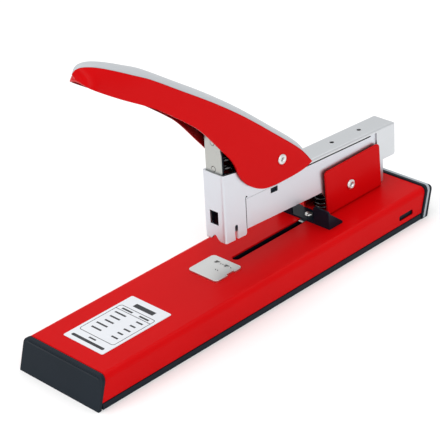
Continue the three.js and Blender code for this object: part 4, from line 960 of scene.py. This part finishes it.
def make_head_frame():
    wide = 2 * housing_half
    frame_sheet = common(wrap("head_frame_folded", frame_half), through(frame_side(), "y", wide))
    housing_side = filleted([
        (nose, housing_bottom, 1.4), (joggle_x, housing_bottom, 1.4), (joggle_x, step_height, 1.4),
        (lever_x, step_height, 0), (lever_x, post_top + over, 0), (nose, post_top + over, 0),
    ])
    housing = common(wrap("housing", housing_half), through(frame_side(), "y", wide),
                     through(housing_side, "y", wide))
    joined(frame_sheet, housing)
    front = (nose - over, nose + front_wall + over / 2)
    key_x, hole_x = nose + 9.6, nose + 43.0
    foot_half, foot_rise, tenths = 4.8, 4.0, [k / 10 for k in range(11)]
    foot = [(-foot_half, housing_bottom - over), (foot_half, housing_bottom - over)]
    foot += [(foot_half * (1 - t), housing_bottom + foot_rise * (3 * t * t - 2 * t ** 3)) for t in tenths]
    foot += [(-foot_half * t, housing_bottom + foot_rise * (1 - 3 * t * t + 2 * t ** 3)) for t in tenths[1:]]
    cut(frame_sheet,
        box("window", *front, -3.5, 3.5, 10.0, 18.7),
        pushed("foot", foot, "x", *front),
        through(rectangle(key_x - 1.2, key_x + 1.2, -6, 8.6, 0, 0, 1.18, 1.18), "y", wide),
        box("hole", hole_x - 3.0, hole_x + 3.0, -wide, wide, 17.9, 21.3),
        through(circle(pin_bore), "y", wide), through(circle(pin_bore, lever_x, lever_z), "y", wide))

    def outside(face):
        """The room beyond a face on both sides."""
        return (face, wide), (-wide, -face)

    for side in outside(frame_half - 0.5):
        cut(frame_sheet, pushed("dimple", circle(0.9, nose + 18.9, 23.4, 20), "y", *side))
        cut(frame_sheet, box("crease", joggle_x, joggle_x + 1.2, *side, 2.2, step_height))
    for side in outside(frame_half - 0.12):
        cut(frame_sheet, box("step_line", joggle_x, lever_x, *side, step_height - 1.1, step_height))
    for side in outside(frame_inner - 1.0):
        cut(frame_sheet, box("lip_line", -49.0, 22.0, *side, 24.4, 25.4))
    finished(frame_sheet, nickel, "nickel_plate", "head", "head_frame", edge=0.2, place=head_place)


make_head_frame()

# %% [markdown]
# ## Magazine cover
# A thin zinc plated channel that slides on the head's rear half. Its rear is a deeper box end, and its
# roof has two small holes.

# %% Magazine cover
def make_magazine_cover():
    half, wall, top, lip, front, rear, panel = 8.7, 0.6, 27.9, 25.8, -50.0, 44.0, 5.4
    cover = pushed("magazine_cover_folded", arch(half, panel, top, 1.6), "x", front, rear)
    side = filleted([
        (front, lip, 0), (rear - 17.0, lip, 0.8), (rear - 17.0, panel, 0.8), (rear, panel, 1.5),
        (rear, top, 1.5), (front, top, 0),
    ])
    common(cover, through(side, "y", 2 * half))
    inside = arch(half - wall, panel - over, top - wall, 0.6)
    cut(cover, pushed("inside", inside, "x", front - over, rear - wall))
    for x in (-5.5, 19.7):
        cut(cover, pushed("hole", circle(1.5, x, 0), "z", top - over, top + over))
    finished(cover, zinc, "zinc_plate", "cover", "magazine_cover", edge=0.12, place=head_place)


make_magazine_cover()

# %% [markdown]
# ## Handle
# The handle is drawn from the side with its chord along X: a crest line on top and a belly line below,
# both smooth curves through a few points. From the side it is simply pushed across. What makes it a
# handle is the second shape that it is cut with: a body whose outline narrows from the lower rim to the
# crest, so the nose is round like a spoon. The hollow is the same body drawn in by the sheet's thickness.

# %% Handle lines
handle_half, handle_wall = 10.2, 1.2
reach, rim_reach, rim_round = 174.2, 169.8, 8.5
spoon_length, spoon_power = 45.0, 1.6
spoon_start = reach - spoon_length
shoulder, shoulder_inset = 4.0, 0.4
handle_deep, tail_end = -42.6, -40.0
straight_steps, spoon_steps, nose_steps, shoulder_steps, dome_steps = 12, 18, 16, 12, 24
crest_knots = [
    (-27.9, 5.5), (-12.4, 9.9), (14.9, 12.9), (45.6, 15.6), (74.2, 16.5), (101.0, 16.2), (126.6, 15.8),
    (140.3, 14.5), (149.7, 13.5), (157.2, 12.5), (163.3, 11.4), (168.1, 10.0), (171.4, 8.5), (173.1, 7.0),
    (173.9, 5.5), (174.2, 3.45),
]
belly_knots = [
    (169.8, 1.0), (167.1, -0.1), (162.0, -0.55), (143.3, 0.0), (119.1, 1.6), (106.1, 1.4), (85.7, 0.2),
    (74.0, -1.5), (57.6, -6.2), (40.5, -11.6), (29.5, -18.6), (20.6, -21.3), (9.1, -20.9), (-1.8, -16.2),
    (-20.0, -3.1), (-27.9, 5.5),
]


def smooth_line(knots, steps=8):
    """A smooth curve through all its knots."""
    ends = [knots[0]] + knots + [knots[-1]]
    line = []
    for a, b, c, d in zip(ends, ends[1:], ends[2:], ends[3:]):
        a, b, c, d = Vector(a), Vector(b), Vector(c), Vector(d)
        for k in range(steps):
            t = k / steps
            line.append(tuple(b + (c - a) * t / 2 + (2 * a - 5 * b + 4 * c - d) * t * t / 2
                              + (3 * b - a - 3 * c + d) * t ** 3 / 2))
    return line + [tuple(knots[-1])]


crest_line = smooth_line(crest_knots)
belly_line = smooth_line(belly_knots)


def crest_at(along):
    """Height of the crest at a distance from the hinge."""
    for (x0, z0), (x1, z1) in zip(crest_line, crest_line[1:]):
        if along <= x1:
            return z0 + (z1 - z0) * max(0.0, (along - x0) / (x1 - x0))
    return crest_line[-1][1]


def lowered(line, distance):
    """A line moved square to itself, towards the hollow."""
    moved = []
    for i, (x, z) in enumerate(line):
        way = Vector(line[min(i + 1, len(line) - 1)]) - Vector(line[max(i - 1, 0)])
        way.normalize()
        moved.append((x + way.y * -distance, z - way.x * distance))
    return moved


print("crest points", len(crest_line), "belly points", len(belly_line))


# %% [markdown]
# ### The body of the handle
# A row of stations runs from the tail round to the nose. Each one pairs a place on the lower rim with
# one on the crest, and the skin between them leans in above the shoulder.

# %% Handle body
def spoon_half(along, inset=0.0):
    """Half the width along the crest: straight, then drawn in like a spoon."""
    length = spoon_length - inset * spoon_power
    share = min(max((along - spoon_start) / length, 0.0), 1.0)
    return (handle_half - shoulder_inset - inset) * (1 - share ** spoon_power) ** (1 / spoon_power)


def skin(name, rings):
    """A closed solid over a row of rings."""
    bm = bmesh.new()
    rows = [[bm.verts.new(Vector(p) * MM) for p in ring] for ring in rings]
    for low, high in zip(rows, rows[1:]):
        for i in range(len(low)):
            bm.faces.new((low[i - 1], low[i], high[i], high[i - 1]))
    bm.faces.new(rows[0])
    bm.faces.new(rows[-1])
    bmesh.ops.recalc_face_normals(bm, faces=bm.faces)
    return as_object(bm, name)


def handle_stations(inset):
    """Pairs of places on the lower rim and on the crest, from the tail round to the nose."""
    half, round_start = handle_half - inset, rim_reach - rim_round
    places = [tail_end + (spoon_start - tail_end) * k / straight_steps for k in range(straight_steps)]
    places += [spoon_start + (round_start - spoon_start) * k / spoon_steps for k in range(spoon_steps + 1)]
    pairs = [((x, half), (x, spoon_half(x, inset))) for x in places]
    for k in range(1, nose_steps + 1):
        turn = pi / 2 * k / nose_steps
        crest_x = round_start + (reach - inset * spoon_power - round_start) * sin(turn)
        pairs.append(((round_start + (rim_round - inset) * sin(turn), half * cos(turn)),
                      (crest_x, spoon_half(crest_x, inset))))
    return pairs


def handle_body(name, inset):
    """Upright sides that lean in to the narrower crest above the shoulder."""
    pairs = handle_stations(inset)

    def level(share, height=None):
        side = []
        for rim, crest in pairs:
            deep = min(max((crest[0] - spoon_start) / (spoon_length / 2), 0.0), 1.0)
            foot = (crest_at(crest[0]) - shoulder) * (1 - deep)
            lean = share ** 2
            side.append((-(rim[0] + (crest[0] - rim[0]) * lean), rim[1] + (crest[1] - rim[1]) * lean,
                         foot + (crest_at(crest[0]) - foot) * share if height is None else height))
        return side + [(x, -y, z) for x, y, z in side[-2::-1]]

    levels = [level(k / shoulder_steps) for k in range(shoulder_steps + 1)]
    return skin(name, [level(0, handle_deep)] + levels + [level(1, -handle_deep)])


def make_handle_shell():
    side = [(-x, z) for x, z in crest_line + belly_line[:-1]]
    shell = common(pushed("handle_shell_pressed", side, "y", -2 * handle_half, 2 * handle_half),
                   handle_body("body", 0.0))
    inner = handle_half - handle_wall
    roof = lowered(crest_line, handle_wall)
    (tail, tail_z), tip = roof[0], roof[-1][0]
    under = [(tail - over, handle_deep), (tail - over, tail_z - over)] + roof + [(tip, handle_deep)]
    hollow = common(through([(-x, z) for x, z in under], "y", handle_half),
                    handle_body("inner_body", handle_wall))
    cut(shell, hollow, box("tail", 23.3, -tail_end, -inner, inner, handle_deep, -handle_deep),
        through(circle(pin_bore), "y", 2 * handle_half))
    finished(shell, red_enamel, "red_enamel", "handle", "handle_shell", place=lever_place)


make_handle_shell()

# %% [markdown]
# ### Grip cover
# The grey cover is a strip that is domed across and seated on the crest. Its shape follows one rule:
# the crest gives its height, the spoon gives its width, and it thins out to the tip. So it is a row of
# arches, skinned over.

# %% Grip cover
def make_handle_cover():
    first, rise, thin_power, dome_power = -26.4, 3.8, 0.4, 1.8
    tail_run, tail_least, tail_power = 12.0, 0.08, 0.6
    places = [x for x, z in crest_line if x > first][:-1]
    rings = []
    for x in [first] + places + [(places[-1] + 3 * reach) / 4]:
        half, low = spoon_half(x), crest_at(x) + 0.1
        high = rise * min((reach - x) / spoon_length, 1.0) ** thin_power
        high *= max(min((x - first) / tail_run, 1.0), tail_least) ** tail_power
        ring = []
        for k in range(dome_steps + 1):
            turn = pi * k / dome_steps
            across = abs(cos(turn)) ** (2 / dome_power) * (1 if turn < pi / 2 else -1)
            ring.append((-x, -half * across, low + high * sin(turn) ** (2 / dome_power)))
        rings.append(ring)
    finished(skin("handle_cover_moulded", rings), grey_abs, "grey_plastic", "handle", "handle_cover",
             edge=0.3, place=lever_place)


make_handle_cover()
turned("handle_hinge_rivet_spread", cross_rivet_profile(handle_half + head_stands_off), steel,
       "bright_steel", "handle", "handle_hinge_rivet", place=lever_place @ across)


# %% [markdown]
# ### Driver plate
# The bright plate at the front rides down with the handle. Two rivets hold it to its carrier.

# %% Driver plate
def make_driver_plate():
    plate = pushed("driver_blade_ground", rectangle(-6.5, 6.5, 24.0, 67.5, 0, 0, 1.2, 1.2), "x",
                   nose + 1.5, nose + 2.5)
    cut(plate, *[pushed("bore", circle(1.8, 0, z), "x", nose, nose + over) for z in (45.6, 62.2)])
    finished(plate, blade_steel, "bright_steel", "driver", "driver_blade", edge=0.15, place=head_place)


make_driver_plate()

# %% [markdown]
# ## Materials for the pieces that keep their CAD mesh
# The hidden and small pieces are already right as they are. Each one gets its finish by assigning to
# its material slot, and its mesh isn't touched.

# %% Dress the CAD nodes
own_finish = {
    **dict.fromkeys(("base_spine", "staple_rail", "staple_strip", "spring_deck"), black_oxide),
    **dict.fromkeys(("driver_rivet_1", "driver_rivet_2"), blade_steel),
}
slot_finish = {
    "red_enamel": red_enamel, "black_plastic": black_abs, "grey_plastic": grey_abs, "nickel_plate": nickel,
    "zinc_plate": zinc, "bright_steel": steel, "black_steel": black_oxide, "printed_film": label_film,
}
for part in frame["record"]["subparts"]:
    node = frame["nodes"][part["node"]]
    finish = own_finish.get(part["node"], slot_finish[part["material_slot"]])
    if not node.material_slots:
        node.data.materials.append(finish)
    for holder in node.material_slots:
        holder.material = finish

# %% [markdown]
# ## Floor, light and camera
# The photograph is a plain studio picture on white. A pale floor and a pale surround give the metal
# something bright to reflect, and three large soft lamps shape the red sides.

# %% Floor
def make_floor():
    bm = bmesh.new()
    bmesh.ops.create_grid(bm, x_segments=1, y_segments=1, size=3.0)
    floor = as_object(bm, "floor")
    material, tree, shader, place = new_material("pale_studio_floor", "#FAFAFA", 0.0, 0.8)
    waviness(tree, shader, place, 60.0, 0.001, 0.75, 0.85)
    floor.data.materials.append(material)


make_floor()


# %% [markdown]
# ### Lamps and surround
# The key lamp stands at the camera's left, a fill lamp faces the front, and the widest lamp hangs
# above. The surround is white, because bright metal shows mostly what is around it.

# %% Lights
def soft_lamp(name, place, aim, size, watts):
    """A large square area lamp that faces a point."""
    data = bpy.data.lights.new(name, "AREA")
    data.size = size
    data.energy = watts
    lamp = bpy.data.objects.new(name, data)
    lamp.location = place
    lamp.rotation_euler = (Vector(aim) - Vector(place)).to_track_quat("-Z", "Y").to_euler()
    bpy.context.scene.collection.objects.link(lamp)


aim = (0.0, 0.0, 0.06)
soft_lamp("key_lamp", (-0.7, -1.3, 1.3), aim, 1.0, 9.0)
soft_lamp("fill_lamp", (-1.4, 0.5, 0.9), aim, 1.2, 5.0)
soft_lamp("top_lamp", (0.4, 0.3, 1.7), aim, 1.4, 9.0)

world = bpy.data.worlds.new("studio")
world.use_nodes = True
background = world.node_tree.nodes["Background"]
background.inputs["Color"].default_value = linear("#FFFFFF")
background.inputs["Strength"].default_value = 0.8
bpy.context.scene.world = world
bpy.context.scene.view_settings.view_transform = "Standard"

# %% [markdown]
# ### Camera
# The place, the turn and the focal length were found by fitting corners and edges of the base to those
# in the photograph.

# %% Camera
focal_px = 1765.2
picture_width_px = 440
camera_data = bpy.data.cameras.new("photo_camera")
camera_data.sensor_fit = "HORIZONTAL"
camera_data.sensor_width = 36.0
camera_data.lens = focal_px / picture_width_px * camera_data.sensor_width
camera = bpy.data.objects.new("photo_camera", camera_data)
bpy.context.scene.collection.objects.link(camera)
azimuth, elevation, roll = radians(-41.43), radians(28.46), radians(-5.87)
forward = Vector((-sin(azimuth) * cos(elevation), cos(azimuth) * cos(elevation), -sin(elevation)))
right = forward.cross(Vector((0, 0, 1))).normalized()
up = right.cross(forward)
side_axis = right * cos(roll) + up * sin(roll)
up_axis = up * cos(roll) - right * sin(roll)
turn = Matrix((side_axis, up_axis, -forward)).transposed().to_4x4()
camera.matrix_world = Matrix.Translation((-0.62085, -0.69284, 0.55006)) @ turn
camera_data.clip_end = 20.0
bpy.context.scene.camera = camera
print("camera looks along", [round(v, 4) for v in forward])
